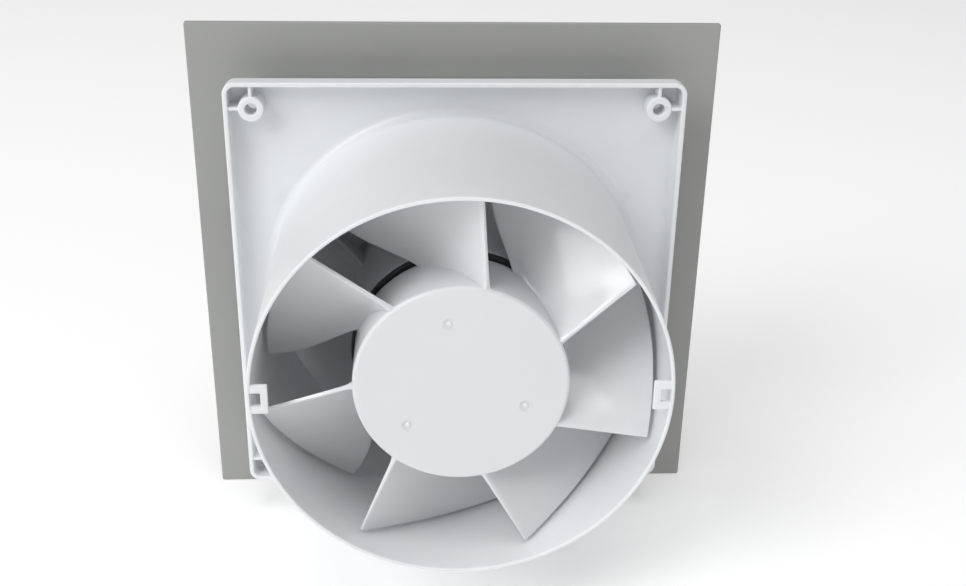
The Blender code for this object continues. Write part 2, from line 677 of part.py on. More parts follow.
def hub_body(paint):
    """A cup that is closed on the duct side, with the shaft's boss in its middle."""
    inner = HUB_RADIUS - HUB_WALL
    ceiling = HUB_FACE_Y - 1.8
    face_radius = HUB_RADIUS - 0.1
    profile = [(0, HUB_FACE_Y)]
    for degrees in (90, 60, 30, 0):
        angle = math.radians(degrees)
        profile.append((
            face_radius - HUB_EDGE * (1 - math.cos(angle)), HUB_FACE_Y - HUB_EDGE * (1 - math.sin(angle)),
        ))
    profile += [
        (HUB_RADIUS, HUB_OPEN_Y), (inner, HUB_OPEN_Y), (inner - 0.1, ceiling - 1.0), (inner - 1.1, ceiling),
        (HUB_BOSS_RADIUS + 0.4, ceiling), (HUB_BOSS_RADIUS, HUB_BOSS_Y), (SHAFT_FIT, HUB_BOSS_Y),
        (SHAFT_FIT, SHAFT_BACK_Y + GAP), (0, SHAFT_BACK_Y + GAP),
    ]
    return turned("impeller", profile, paint, HUB_SIDES)


def blade_point(span, chord):
    """A point on the blade's middle surface: span runs from root to tip and chord from back to front."""
    radius = BLADE_ROOT_RADIUS + (BLADE_TIP_RADIUS - BLADE_ROOT_RADIUS) * span
    root_x, root_z = spot(BLADE_ROOT_RADIUS, BLADE_ROOT_ANGLE)
    tip_x, tip_z = spot(BLADE_TIP_RADIUS, BLADE_TIP_ANGLE)
    edge_x, edge_z = root_x + (tip_x - root_x) * span, root_z + (tip_z - root_z) * span
    back_angle = math.degrees(math.atan2(edge_z, -edge_x))
    tip_sweep = BLADE_TIP_ANGLE + BLADE_TIP_SWEEP
    root_sweep = BLADE_ROOT_ANGLE + BLADE_ROOT_SWEEP
    spread = 1 - max(1 - span, 0.0) ** BLADE_FRONT_POWER
    front_angle = root_sweep + (tip_sweep - root_sweep) * spread
    front_y = BLADE_ROOT_FRONT_Y + (BLADE_TIP_FRONT_Y - BLADE_ROOT_FRONT_Y) * spread
    fall = chord + BLADE_CAMBER * chord * (1 - chord)
    x, z = spot(radius, back_angle + (front_angle - back_angle) * chord)
    return Vector((x, BLADE_BACK_Y + (front_y - BLADE_BACK_Y) * fall, z))


def blade_skin(span, chord, side):
    """A point on one face of the blade, which thins towards its tip and its edges."""
    step = 0.01
    along = blade_point(span + step, chord) - blade_point(span - step, chord)
    across = blade_point(span, chord + step) - blade_point(span, chord - step)
    thick = BLADE_ROOT_THICK + (BLADE_TIP_THICK - BLADE_ROOT_THICK) * span
    thick *= 0.55 + 0.45 * math.sqrt(4 * chord * (1 - chord))
    return blade_point(span, chord) + along.cross(across).normalized() * (side * thick / 2)


def blade_body(number, paint):
    """One twisted blade, made as a loft of closed sections from root to tip."""
    chords = [step / BLADE_CHORDS for step in range(BLADE_CHORDS + 1)]
    sections = []
    for step in range(BLADE_SPANS + 1):
        span = step / BLADE_SPANS
        upper = [blade_skin(span, chord, 1) for chord in chords]
        lower = [blade_skin(span, chord, -1) for chord in reversed(chords)]
        sections.append(upper + lower)
    return lofted(f"blade_{number}", sections, paint)


def build_impeller(paints):
    impeller = hub_body(paints["white_impeller"])
    for number in range(BLADES):
        blade = blade_body(number + 1, paints["white_impeller"])
        fuse(impeller, swung(blade, number * 360 / BLADES))
    for number, degrees in enumerate(DIMPLE_ANGLES, 1):
        dimple = cylinder(
            f"dimple_{number}", 2.2, (HUB_FACE_Y - 0.35, HUB_FACE_Y + OVERLAP), paints["white_impeller"],
        )
        cut(impeller, at(dimple, *spot(DIMPLE_CIRCLE, degrees)))
    open_ring("impeller_clamp_ring", HUB_BOSS_RADIUS + 0.5, 7.2, (45.0, 46.6), 330, paints["steel"])


# ---- Electrical fittings ------------------------------------------------------------------------

def build_terminals(paints):
    """Two-pole terminal block with its screws, its cover, the cable clamp and the grommet."""
    shell = paints["natural_polyamide"]
    terminal_block = block("terminal_block", BLOCK_X, (BLOCK_FRONT_Y, BLOCK_BACK_Y), BLOCK_Z, shell)
    middle_x = sum(BLOCK_X) / 2
    wells = [(middle_x + dx, z) for z in WELL_Z for dx in (-WELL_HALF_PITCH, WELL_HALF_PITCH)]
    for number, (x, z) in enumerate(wells, 1):
        well = cylinder(f"screw_well_{number}", WELL_RADIUS, (BLOCK_FRONT_Y - OVERLAP, WELL_END_Y), shell)
        cut(terminal_block, at(well, x, z))
    screw_y = (BLOCK_FRONT_Y + 0.8, WELL_END_Y - GAP)
    first = cylinder("terminal_screw_1", WELL_RADIUS - GAP, screw_y, paints["steel"])
    twins = [copy_of(first, f"terminal_screw_{number}") for number in (2, 3, 4)]
    for screw, (x, z) in zip([first, *twins], wells):
        at(screw, x, z)

    build_cover(paints)

    clamp_back = ARM_FRONT_Y - GAP
    left_x, right_x = CLAMP_X
    clamp = block(
        "cable_clamp", (left_x - CLAMP_END, right_x + CLAMP_END), (clamp_back - CLAMP_THICK, clamp_back),
        (CLAMP_Z - CLAMP_HALF, CLAMP_Z + CLAMP_HALF), paints["white_abs"],
    )
    groove = block(
        "clamp_groove", (left_x + 3.2, right_x - 3.2), (clamp_back - CLAMP_GROOVE, clamp_back + OVERLAP),
        (CLAMP_Z - CLAMP_HALF - OVERLAP, CLAMP_Z + CLAMP_HALF + OVERLAP), paints["white_abs"],
    )
    cut(clamp, groove)
    for number, x in enumerate(CLAMP_X, 1):
        through = (clamp_back - CLAMP_THICK - OVERLAP, clamp_back + OVERLAP)
        hole = cylinder(f"clamp_hole_{number}", PILOT_RADIUS, through, paints["white_abs"])
        cut(clamp, at(hole, x, CLAMP_Z))
    clamp_spots = [(x, CLAMP_Z) for x in CLAMP_X]
    clamp_head_y = clamp_back - CLAMP_THICK - GAP
    screws("clamp_screw", clamp_spots, clamp_head_y, SCREW_TIP_Y, paints["steel"], FITTING_SCREW_HEAD)

    grommet = turned(
        "cable_grommet",
        [
            (2.5, -10.6), (5.4, -10.6), (5.9, -10.1), (5.9, PLATE_FRONT_Y - GAP), (4.0, PLATE_FRONT_Y - GAP),
            (4.0, TRAY_FLOOR_Y + GAP), (5.9, TRAY_FLOOR_Y + GAP), (5.4, -5.4), (2.5, -5.4),
        ],
        paints["black_rubber"], TUBE_SIDES,
    )
    at(grommet, *GROMMET_SPOT)


def build_cover(paints):
    """The cap over the terminal block, with one screw ear and notches for the wires."""
    paint = paints["white_abs"]
    side = GAP + SEAT_THICK + GAP + COVER_WALL
    low_x, high_x = BLOCK_X[0] - side, BLOCK_X[1] + side
    low_z, high_z = BLOCK_Z[0] - GAP - COVER_WALL, BLOCK_Z[1] + GAP + COVER_WALL
    cover = block("terminal_cover", (low_x, high_x), (COVER_FRONT_Y, BLOCK_BACK_Y), (low_z, high_z), paint)
    open_end_y = BLOCK_BACK_Y + OVERLAP
    hollow = block(
        "cover_hollow", (low_x + COVER_WALL, high_x - COVER_WALL), (BLOCK_FRONT_Y - GAP, open_end_y),
        (low_z + COVER_WALL, high_z - COVER_WALL), paint,
    )
    ear_back = ARM_FRONT_Y - GAP
    ear_front = ear_back - EAR_THICK
    screw_x, screw_z = COVER_SCREW
    ear = block(
        "cover_ear", (screw_x - EAR_REACH, screw_x + EAR_REACH), (ear_front, ear_back),
        (high_z - 0.5, screw_z + EAR_REACH), paint,
    )
    ear_hole = cylinder("ear_hole", PILOT_RADIUS, (ear_front - OVERLAP, ear_back + OVERLAP), paint)
    lead_z = (WELL_Z[0] - 1.4, WELL_Z[1] + 1.4)
    lead_notch = block(
        "lead_notch", (high_x - 2 * COVER_WALL, high_x + OVERLAP), (LEAD_Y - 1.4, open_end_y), lead_z, paint,
    )
    mains_notch = block(
        "mains_notch", (low_x - OVERLAP, low_x + 2 * COVER_WALL), (-15.0, open_end_y), (-59.0, -54.0), paint,
    )
    fuse(cover, ear)
    cut(cover, hollow, at(ear_hole, screw_x, screw_z), lead_notch, mains_notch)
    screws("cover_screw", [COVER_SCREW], ear_front - GAP, SCREW_TIP_Y, paints["steel"], FITTING_SCREW_HEAD)


def lead(name, side, end_z, paint):
    """One motor lead: out of the winding, through the cup's floor, down the lower arm, to the block."""
    near = side * 1.15
    drop = -5.6 + side * 1.0
    turn_z = -65.4 - side * 1.2
    route = [
        (near, 2.2, -19.0), (near, -3.5, -19.2), (near, -6.5, -22.0), (near, -8.2, -25.8),
        (near, -10.8, -26.5), (near, -12.4, -27.2), (near, LEAD_Y - 0.7, -28.9), (near - 0.6, LEAD_Y, -32.0),
        (drop + 1.0, LEAD_Y, -42.0), (drop, LEAD_Y, -50.0), (drop, LEAD_Y, turn_z + 4.0),
        (drop - 1.2, LEAD_Y, turn_z + 1.2), (drop - 4.0, LEAD_Y, turn_z),
        (-24.0, LEAD_Y, turn_z), (-33.0, LEAD_Y, end_z + 0.2 * (turn_z - end_z)),
        (BLOCK_X[1] + GAP, LEAD_Y, end_z),
    ]
    curve = bpy.data.curves.new(name, "CURVE")
    curve.dimensions = "3D"
    curve.bevel_depth = LEAD_RADIUS * MM
    curve.bevel_resolution = 2
    curve.use_fill_caps = True
    spline = curve.splines.new("POLY")
    spline.points.add(len(route) - 1)
    for point, place in zip(spline.points, route):
        point.co = (*(Vector(place) * MM), 1.0)
    curve.materials.append(paint)
    bpy.context.scene.collection.objects.link(bpy.data.objects.new(name, curve))


# ---- Front panel --------------------------------------------------------------------------------

def build_panel(paints):
    half = PANEL_SIDE / 2
    front = PANEL_BACK_Y - PANEL_THICK
    ease = PANEL_EASE
    rings = [
        [(x, y, z) for x, z in rounded_square(reach, reach, 0.8, 2)]
        for reach, y in (
            (half - ease, front), (half, front + ease),
            (half, PANEL_BACK_Y - ease), (half - ease, PANEL_BACK_Y),
        )
    ]
    lofted("front_panel", rings, paints["grey_panel"])

    carrier_front = CARRIER_BACK_Y - CARRIER_THICK
    outer, inner = CARRIER_SIDE / 2, CARRIER_SIDE / 2 - CARRIER_BORDER
    rings = [
        [(x, y, z) for x, z in rounded_square(reach, reach, CARRIER_CHAMFER, 1)]
        for reach, y in (
            (inner, carrier_front + CARRIER_DISH), (inner, carrier_front),
            (outer, carrier_front), (outer, CARRIER_BACK_Y),
        )
    ]
    carrier = lofted("panel_carrier", rings, paints["white_abs"])
    for number, (sx, sz) in enumerate(((1, 1), (-1, 1), (-1, -1), (1, -1)), 1):
        tip = CARRIER_BACK_Y + PEG_LENGTH
        peg = turned(
            f"peg_{number}",
            [
                (0, CARRIER_BACK_Y - OVERLAP), (PEG_RADIUS, CARRIER_BACK_Y - OVERLAP),
                (PEG_RADIUS, tip - PEG_TIP_LENGTH), (PEG_RADIUS - PEG_TIP_TAPER, tip), (0, tip),
            ],
            paints["white_abs"], TUBE_SIDES,
        )
        fuse(carrier, at(peg, sx * PEG_X, sz * PEG_Z))

    pad_middle = CARRIER_SIDE / 2 - CARRIER_BORDER / 2
    pad_span = (PANEL_BACK_Y + GAP, PANEL_BACK_Y + GAP + PAD_THICK)
    long_half, short_half = PAD_LENGTH / 2, PAD_WIDTH / 2
    for number, degrees in enumerate((0.0, 90.0, 180.0, 270.0), 1):
        pad = block(
            f"adhesive_pad_{number}", (-pad_middle - short_half, -pad_middle + short_half), pad_span,
            (-long_half, long_half), paints["foam_tape"],
        )
        swung(pad, degrees)


def main():
    for obj in list(bpy.data.objects):
        bpy.data.objects.remove(obj, do_unlink=True)
    paints = make_materials()
    build_casing(paints["white_abs"])
    build_bracket(paints["white_abs"])
    foot_spots = [spot(FOOT_SCREW_R, degrees) for degrees in ARM_ANGLES]
    screws("bracket_screw", foot_spots, ARM_FRONT_Y - GAP, SCREW_TIP_Y, paints["steel"])
    build_motor(paints)
    build_impeller(paints)
    build_terminals(paints)
    lead("motor_lead_live", 1, -65.5, paints["brown_wire"])
    lead("motor_lead_neutral", -1, -56.5, paints["blue_wire"])
    build_panel(paints)


main()
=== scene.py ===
"""Looks for the bathroom extractor fan: finer pieces, materials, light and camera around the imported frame.

The wall plane is Y = 0, the room is on the -Y side, the duct is on the +Y side, and +Z is up. Sizes are in
millimetres, and MM turns them into metres. Angles are counted anticlockwise as seen from the duct side:
0 points to -X, 90 points up.
"""

import json
import math

import bmesh
import bpy
from mathutils import Matrix, Vector


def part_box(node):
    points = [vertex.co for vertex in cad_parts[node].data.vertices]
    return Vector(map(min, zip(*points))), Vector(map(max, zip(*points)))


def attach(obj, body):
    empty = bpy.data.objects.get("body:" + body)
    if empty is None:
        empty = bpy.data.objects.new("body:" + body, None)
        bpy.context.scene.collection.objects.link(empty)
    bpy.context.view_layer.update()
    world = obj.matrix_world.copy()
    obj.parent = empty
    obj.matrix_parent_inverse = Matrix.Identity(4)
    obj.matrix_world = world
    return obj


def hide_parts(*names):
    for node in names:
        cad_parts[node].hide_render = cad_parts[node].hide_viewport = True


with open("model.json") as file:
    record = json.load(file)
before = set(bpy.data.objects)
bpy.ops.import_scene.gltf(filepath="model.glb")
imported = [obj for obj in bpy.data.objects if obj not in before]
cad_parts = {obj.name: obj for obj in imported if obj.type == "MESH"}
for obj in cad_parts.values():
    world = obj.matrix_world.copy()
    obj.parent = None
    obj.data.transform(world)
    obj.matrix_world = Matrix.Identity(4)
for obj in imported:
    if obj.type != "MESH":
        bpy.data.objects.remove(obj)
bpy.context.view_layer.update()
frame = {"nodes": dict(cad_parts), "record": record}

MM = 0.001
GAP = 0.3
PAST = 1.0  # how far a cutter reaches past the surface that it cuts

# Camera, floor and sky
CAMERA_SPOT = (12.1, 380.6, 179.8)
CAMERA_AIM = (-8.3, 19.2, 9.7)
CAMERA_ROLL = 1.0  # degrees
CAMERA_LENS = 46.27
FAN_MIDDLE = (0.0, 20.0, 0.0)
FLOOR_HALF = 9000.0
FLOOR_GLOW = 0.24
SKY_GLOW = 0.33

# Casing
CASING_SIDE = 147.0
SKIRT_THICK = 1.5
SKIRT_DRAFT = 0.3
CORNER_RADIUS = 4.0
FRONT_FILLET = 4.0
TRAY_FLOOR_Y = -7.0
PLATE_FRONT_Y = -9.0
SPIGOT_RADIUS = 61.9
BORE_RADIUS = 60.7
SPIGOT_END_Y = 69.8
SPIGOT_FILLET = 3.0
BELL_RADIUS = 3.2
RIM_EASE = 0.4
BOSS_PITCH = 129.6
BOSS_RADIUS = 4.1
BOSS_HOLE_RADIUS = 1.9
BOSS_TOP_Y = -0.2
BOSS_RECESS_RADIUS, BOSS_RECESS_DEPTH = 4.0, 0.9
RIB_THICK = 1.1
RIB_START = 3.0
RIB_TOP_Y = -0.5
ROOTED = 0.8  # how deep a rib or tube starts inside the plate
SOCKET_X = (-61.3, -55.7)
SOCKET_HALF, SOCKET_DEPTH = 4.7, 1.4
SLOT_X, SLOT_HALF = (-60.9, -57.8), 2.2

# Motor bracket and its fixings
ARM_ANGLES = (30.0, 150.0, 270.0)
CUP_RADIUS = 33.6
CUP_WALL = 1.9
CUP_FLOOR_FRONT_Y, CUP_FLOOR_BACK_Y = -12.0, -9.6
CUP_END_Y = 38.0
ARM_HALF_ROOT, ARM_HALF_TIP = 10.5, 9.5
ARM_RIB_X, ARM_RIB_HALF, ARM_RIB_HEIGHT = (-59.0, -30.9), 0.8, 2.8
GUSSET_OFFSET, GUSSET_HALF = 4.4, 0.7
GUSSET_ROOT_X, GUSSET_END_X, GUSSET_TOP_Y = -32.3, -46.0, 5.0
ARM_FRONT_Y = -11.5
ARM_BACK_Y = PLATE_FRONT_Y - GAP
STUB_SEAT_Y = ARM_FRONT_Y - GAP
ARM_END = 69.2
FOOT_SCREW_R = 66.3
STUB_RADIUS = 2.8
PILOT_RADIUS = 1.5
MOTOR_POST_CIRCLE = 20.0
MOTOR_POST_ANGLES = (90.0, 210.0, 330.0)
LEAD_HOLE_RADIUS, LEAD_HOLE_CIRCLE, LEAD_HOLE_ANGLE = 3.2, 26.5, 270.0
DAMPER_HOLE_RADIUS, DAMPER_FRONT_Y, DAMPER_BACK_Y = 24.5, 35.5, 40.4

# Coils
POLE_ANGLES = (0.0, 90.0, 180.0, 270.0)
COIL_INNER, COIL_OUTER = 16.8, 21.4
COIL_HOLE_HALF, COIL_BUILD = 4.8, 3.5
COIL_HOLE_Y, COIL_BUILD_Y = (7.7, 26.3), 4.1
COIL_CORNER, COIL_CORNER_STEPS = 0.6, 6
WIRE_PITCH, WIRE_BULGE, WIRE_STEPS = 0.5, 0.09, 4

# Impeller
HUB_RADIUS = 32.2
HUB_WALL, HUB_FACE_THICK = 1.6, 1.8
HUB_FACE_Y, HUB_OPEN_Y = 62.9, 41.4
HUB_EDGE = 1.2
HUB_BOSS_RADIUS, HUB_BOSS_Y = 5.5, 44.0
SHAFT_FIT = 2.8
SHAFT_BACK_Y = 57.7
DIMPLE_CIRCLE, DIMPLE_RADIUS, DIMPLE_DEPTH = 20.5, 2.3, 0.45
DIMPLE_ANGLES = (100.0, 220.0, 340.0)
BLADES = 7
BLADE_ROOT_RADIUS, BLADE_TIP_RADIUS = 31.2, 59.2
BLADE_BACK_Y = 62.2
BLADE_ROOT_FRONT_Y, BLADE_TIP_FRONT_Y = 43.0, 34.8
BLADE_ROOT_ANGLE, BLADE_TIP_ANGLE = 76.3, 84.5
BLADE_ROOT_SWEEP, BLADE_TIP_SWEEP = 34.0, 47.3
BLADE_FRONT_POWER = 2.7
BLADE_CAMBER = 0.62
BLADE_ROOT_THICK, BLADE_TIP_THICK = 1.7, 1.2
ROOT_FILLET, ROOT_FILLET_REACH = 1.1, 0.7
EDGE_FULLNESS, EDGE_FLAT, EDGE_ROUNDING = 0.85, 0.72, 0.012
BLADE_SPANS, BLADE_CHORDS = 20, 28

# Panel and carrier
PANEL_SIDE = 175.0
PANEL_EASE, PANEL_CORNER_RADIUS = 0.35, 0.7
PANEL_BACK_Y, PANEL_FRONT_Y = -21.6, -23.6
CARRIER_SIDE, CARRIER_BORDER, CARRIER_CHAMFER = 138.0, 8.0, 4.5
CARRIER_DISH = 1.4
CARRIER_FRONT_Y, CARRIER_BACK_Y = -20.2, -17.2
PEG_X, PEG_Z, PEG_RADIUS, PEG_LENGTH = 65.0, 20.0, 2.0, 7.0
PEG_TUBE_RADIUS = 4.0

# Electrical fittings
BLOCK_X, BLOCK_Z = (-50.0, -40.0), (-70.0, -52.0)
BLOCK_FRONT_Y = -15.6
BLOCK_BACK_Y = PLATE_FRONT_Y - GAP
POLE_Z = (-65.5, -56.5)
WELL_HALF_PITCH, WELL_RADIUS, WELL_END_Y = 2.6, 1.9, -11.4
SEAT_THICK, SEAT_HALF, SEAT_FRONT_Y = 1.2, 1.5, -13.0
COVER_WALL = 1.0
COVER_FRONT_Y = -16.8
COVER_SCREW = (-47.5, -47.3)
COVER_EAR_THICK, COVER_EAR_REACH = 1.5, 3.2
GROMMET_SPOT = (-63.5, -34.0)
GROMMET_HOLE = 4.3
GROMMET_BORE, GROMMET_NECK, GROMMET_FLANGE = 2.5, 4.0, 5.9
GROMMET_FRONT_Y, GROMMET_BACK_Y = -10.6, -5.4
CLAMP_X, CLAMP_Z = (-66.0, -55.0), -45.0
CLAMP_THICK, CLAMP_HALF = 2.2, 2.6
LEAD_RADIUS, LEAD_SIDES = 0.8, 14
LEAD_Y = -12.8

# Screws
SCREW_HEAD = 2.0
SHANK_RADIUS = 1.2
SCREW_TIP_Y = -8.4

# Fineness: sides of a full turn, steps of an edge's rounding, and the angles (degrees) that count as sharp
ROUND_FINE, ROUND, ROUND_SMALL = 180, 96, 40
EASE_STEPS = 3
SHARP_EDGE = 35.0
CREASE = 32.0


# ---- Solids -------------------------------------------------------------------------------------

def spot(radius, degrees):
    """The (x, z) of a point at this radius and angle, as seen from the duct side."""
    return -radius * math.cos(math.radians(degrees)), radius * math.sin(math.radians(degrees))


def eased(corners, closed=False, steps=5):
    """An outline whose corners (a, b, radius) are rounded off by arcs of that radius."""
    points = []
    count = len(corners)
    for index, (a, b, radius) in enumerate(corners):
        here = Vector((a, b))
        is_end = not closed and index in (0, count - 1)
        if radius == 0 or is_end:
            points.append((a, b))
            continue
        back = (Vector(corners[index - 1][:2]) - here).normalized()
        on = (Vector(corners[(index + 1) % count][:2]) - here).normalized()
        half = math.acos(max(-1.0, min(1.0, back.dot(on)))) / 2
        centre = here + (back + on).normalized() * (radius / math.sin(half))
        start = here + back * (radius / math.tan(half)) - centre
        end = here + on * (radius / math.tan(half)) - centre
        sweep = math.atan2(start.x * end.y - start.y * end.x, start.dot(end))
        for step in range(steps + 1):
            turn = Matrix.Rotation(sweep * step / steps, 2)
            point = centre + turn @ start
            points.append((point.x, point.y))
    return points


def turned(profile, sides=ROUND):
    """A solid of revolution about Y. A profile of (radius, y) that starts on the axis ends there too."""
    bm = bmesh.new()
    rings = []
    for radius, y in profile:
        around = sides if radius > 0 else 1
        angles = [math.tau * i / sides for i in range(around)]
        rings.append([
            bm.verts.new((radius * MM * math.cos(angle), y * MM, radius * MM * math.sin(angle)))
            for angle in angles
        ])
    pairs = list(zip(rings, rings[1:]))
    if profile[0][0] > 0:
        pairs.append((rings[-1], rings[0]))
    for near, far in pairs:
        for i in range(sides):
            j = (i + 1) % sides
            corners = [near[i % len(near)], near[j % len(near)], far[j % len(far)], far[i % len(far)]]
            face = list(dict.fromkeys(corners))
            if len(face) > 2:
                bm.faces.new(face)
    return bm


def lofted(rings, ring_shaped=False):
    """A solid through rings of equally many points, capped at its ends or joined end to end."""
    bm = bmesh.new()
    loops = [[bm.verts.new(Vector(point) * MM) for point in ring] for ring in rings]
    pairs = list(zip(loops, loops[1:]))
    if ring_shaped:
        pairs.append((loops[-1], loops[0]))
    else:
        bm.faces.new(loops[0])
        bm.faces.new(loops[-1])
    for near, far in pairs:
        for i, corner in enumerate(near):
            j = (i + 1) % len(near)
            bm.faces.new((corner, near[j], far[j], far[i]))
    return bm


def softened(bm, ease):
    """Rounds every sharp edge of a simple solid."""
    if ease > 0:
        bmesh.ops.recalc_face_normals(bm, faces=bm.faces)
        sharp = [edge for edge in bm.edges if edge.calc_face_angle(0) > math.radians(SHARP_EDGE)]
        bmesh.ops.bevel(
            bm, geom=sharp, offset=ease * MM, offset_type="OFFSET", segments=EASE_STEPS, profile=0.5,
            affect="EDGES", clamp_overlap=True,
        )
    return bm


def prism(outline, y_span, ease=0.25):
    """An (x, z) outline extruded along Y."""
    rings = [[(x, y, z) for x, z in outline] for y in y_span]
    return softened(lofted(rings), ease)


def block(x_span, y_span, z_span, ease=0.25):
    """A box that fills these spans."""
    (x0, x1), (z0, z1) = x_span, z_span
    return prism([(x0, z0), (x1, z0), (x1, z1), (x0, z1)], y_span, ease)


def rod(radius, y_span, ease=0.0):
    """A round rod along Y. Its end at the second y is rounded off."""
    y0, y1 = y_span
    return turned(eased([(0, y0, 0), (radius, y0, 0), (radius, y1, ease), (0, y1, 0)]), ROUND_SMALL)


def flared(radius, y_span, chamfer):
    """A cutter for a round hole whose mouth, just before the second y, opens out in a small chamfer."""
    y0, y1 = y_span
    mouth = radius + chamfer
    return turned(
        [(0, y0), (radius, y0), (radius, y1 - chamfer), (mouth, y1), (mouth, y1 + PAST), (0, y1 + PAST)],
        ROUND_SMALL,
    )


def rounded_square(half_x, half_z, radius, steps):
    """The outline of a rectangle whose corners are arcs of so many steps, or chamfers with one."""
    outline = []
    for quarter, (sx, sz) in enumerate(((1, 1), (-1, 1), (-1, -1), (1, -1))):
        for step in range(steps + 1):
            angle = math.radians(90 * (quarter + step / steps))
            outline.append((
                sx * (half_x - radius) + radius * math.cos(angle),
                sz * (half_z - radius) + radius * math.sin(angle),
            ))
    return outline


def moved(bm, x, z):
    """Shifts a solid across the fan's axis."""
    bmesh.ops.translate(bm, vec=Vector((x, 0, z)) * MM, verts=bm.verts)
    return bm


def swung(bm, degrees):
    """Turns a solid made along -X to this angle about the fan's axis."""
    bmesh.ops.transform(bm, matrix=Matrix.Rotation(math.radians(degrees), 4, "Y"), verts=bm.verts)
    return bm


def gathered(solids):
    """Several solids that don't touch each other, in one bmesh."""
    whole = bmesh.new()
    for solid in solids:
        mesh = bpy.data.meshes.new("part")
        solid.to_mesh(mesh)
        solid.free()
        whole.from_mesh(mesh)
        bpy.data.meshes.remove(mesh)
    return whole


def solid_object(name, bm):
    """Turns a bmesh into an object of the scene, with its faces pointing outwards."""
    bmesh.ops.recalc_face_normals(bm, faces=bm.faces)
    mesh = bpy.data.meshes.new(name)
    bm.to_mesh(mesh)
    bm.free()
    obj = bpy.data.objects.new(name, mesh)
    bpy.context.scene.collection.objects.link(obj)
    return obj


def combined(name, base, steps):
    """Joins and cuts solids, in the order of the steps ("UNION" or "DIFFERENCE", [solids])."""
    obj = solid_object(name, base)
    helpers = []
    for operation, solids in steps:
        helper = solid_object("helper", gathered(solids))
        helpers.append(helper)
        modifier = obj.modifiers.new("step", "BOOLEAN")
        modifier.operation = operation
        modifier.solver = "EXACT"
        modifier.object = helper
    bpy.context.view_layer.update()
    graph = bpy.context.evaluated_depsgraph_get()
    mesh = bpy.data.meshes.new_from_object(obj.evaluated_get(graph))
    obj.modifiers.clear()
    obj.data = mesh
    for helper in helpers:
        bpy.data.objects.remove(helper, do_unlink=True)
    return obj


def shown(obj, body, material, nodes, crease=CREASE):
    """Finishes a piece: shading, material, its body and the CAD nodes that it stands for."""
    obj.data.shade_smooth()
    obj.data.set_sharp_from_angle(angle=math.radians(crease))
    obj.data.materials.clear()
    obj.data.materials.append(material)
    weighting = obj.modifiers.new("weighted_normals", "WEIGHTED_NORMAL")
    weighting.mode = "FACE_AREA"
    weighting.keep_sharp = True
    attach(obj, body)
    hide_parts(*nodes)
    return obj


# ---- Casing -------------------------------------------------------------------------------------

def tray_solid():
    """The plate and its skirt: up the inside wall, over the rim, down the outside, round the fillet."""
    half = CASING_SIDE / 2
    inside = half - SKIRT_THICK
    floor_fillet, least_radius, corner_steps = 0.7, 0.6, 10
    stations = eased([
        (inside - SKIRT_DRAFT - 2.0, TRAY_FLOOR_Y, 0),
        (inside - SKIRT_DRAFT, TRAY_FLOOR_Y, floor_fillet),
        (inside, 0.0, RIM_EASE),
        (half, 0.0, RIM_EASE),
        (half, PLATE_FRONT_Y, FRONT_FILLET),
        (half - FRONT_FILLET - 1.0, PLATE_FRONT_Y, 0),
    ], steps=8)
    rings = []
    for reach, y in stations:
        radius = max(CORNER_RADIUS - (half - reach), least_radius)
        rings.append([(x, y, z) for x, z in rounded_square(reach, reach, radius, corner_steps)])
    return lofted(rings)


def spigot_solid():
    """The duct spigot as a solid drum, with the fillet where it leaves the plate."""
    centre_r, centre_y = SPIGOT_RADIUS + SPIGOT_FILLET, TRAY_FLOOR_Y + SPIGOT_FILLET
    seat_y = TRAY_FLOOR_Y - 1.4
    fillet_sweep, fillet_steps = 86.0, 10  # a little short of 90 degrees, so that it cuts into the plate
    profile = [(0, seat_y), (centre_r + 0.2, seat_y)]
    for step in range(fillet_steps + 1):
        angle = math.radians(fillet_sweep * (1 - step / fillet_steps))
        profile.append((
            centre_r - SPIGOT_FILLET * math.cos(angle), centre_y - SPIGOT_FILLET * math.sin(angle),
        ))
    wall_middle_y = 30.0
    profile += eased([
        (SPIGOT_RADIUS, wall_middle_y, 0), (SPIGOT_RADIUS, SPIGOT_END_Y, RIM_EASE), (0, SPIGOT_END_Y, 0),
    ])
    return turned(profile, ROUND_FINE)


def bore_solid():
    """The air path, with a bell mouth on the room side and a rounded edge on the duct side."""
    mouth = BORE_RADIUS + BELL_RADIUS
    bell_steps, rim_steps = 8, 4
    profile = [(0, PLATE_FRONT_Y - PAST), (mouth + 0.6, PLATE_FRONT_Y - PAST)]
    for step in range(1, bell_steps + 1):
        angle = math.radians(90 * step / bell_steps)
        profile.append((
            mouth - BELL_RADIUS * math.sin(angle),
            PLATE_FRONT_Y + BELL_RADIUS * (1 - math.cos(angle)),
        ))
    for step in range(rim_steps + 1):
        angle = math.radians(90 * step / rim_steps)
        profile.append((
            BORE_RADIUS + RIM_EASE * (1 - math.cos(angle)), SPIGOT_END_Y - RIM_EASE * (1 - math.sin(angle)),
        ))
    end_radius = BORE_RADIUS + RIM_EASE
    profile += [(end_radius, SPIGOT_END_Y + PAST), (0, SPIGOT_END_Y + PAST)]
    return turned(profile, ROUND_FINE)


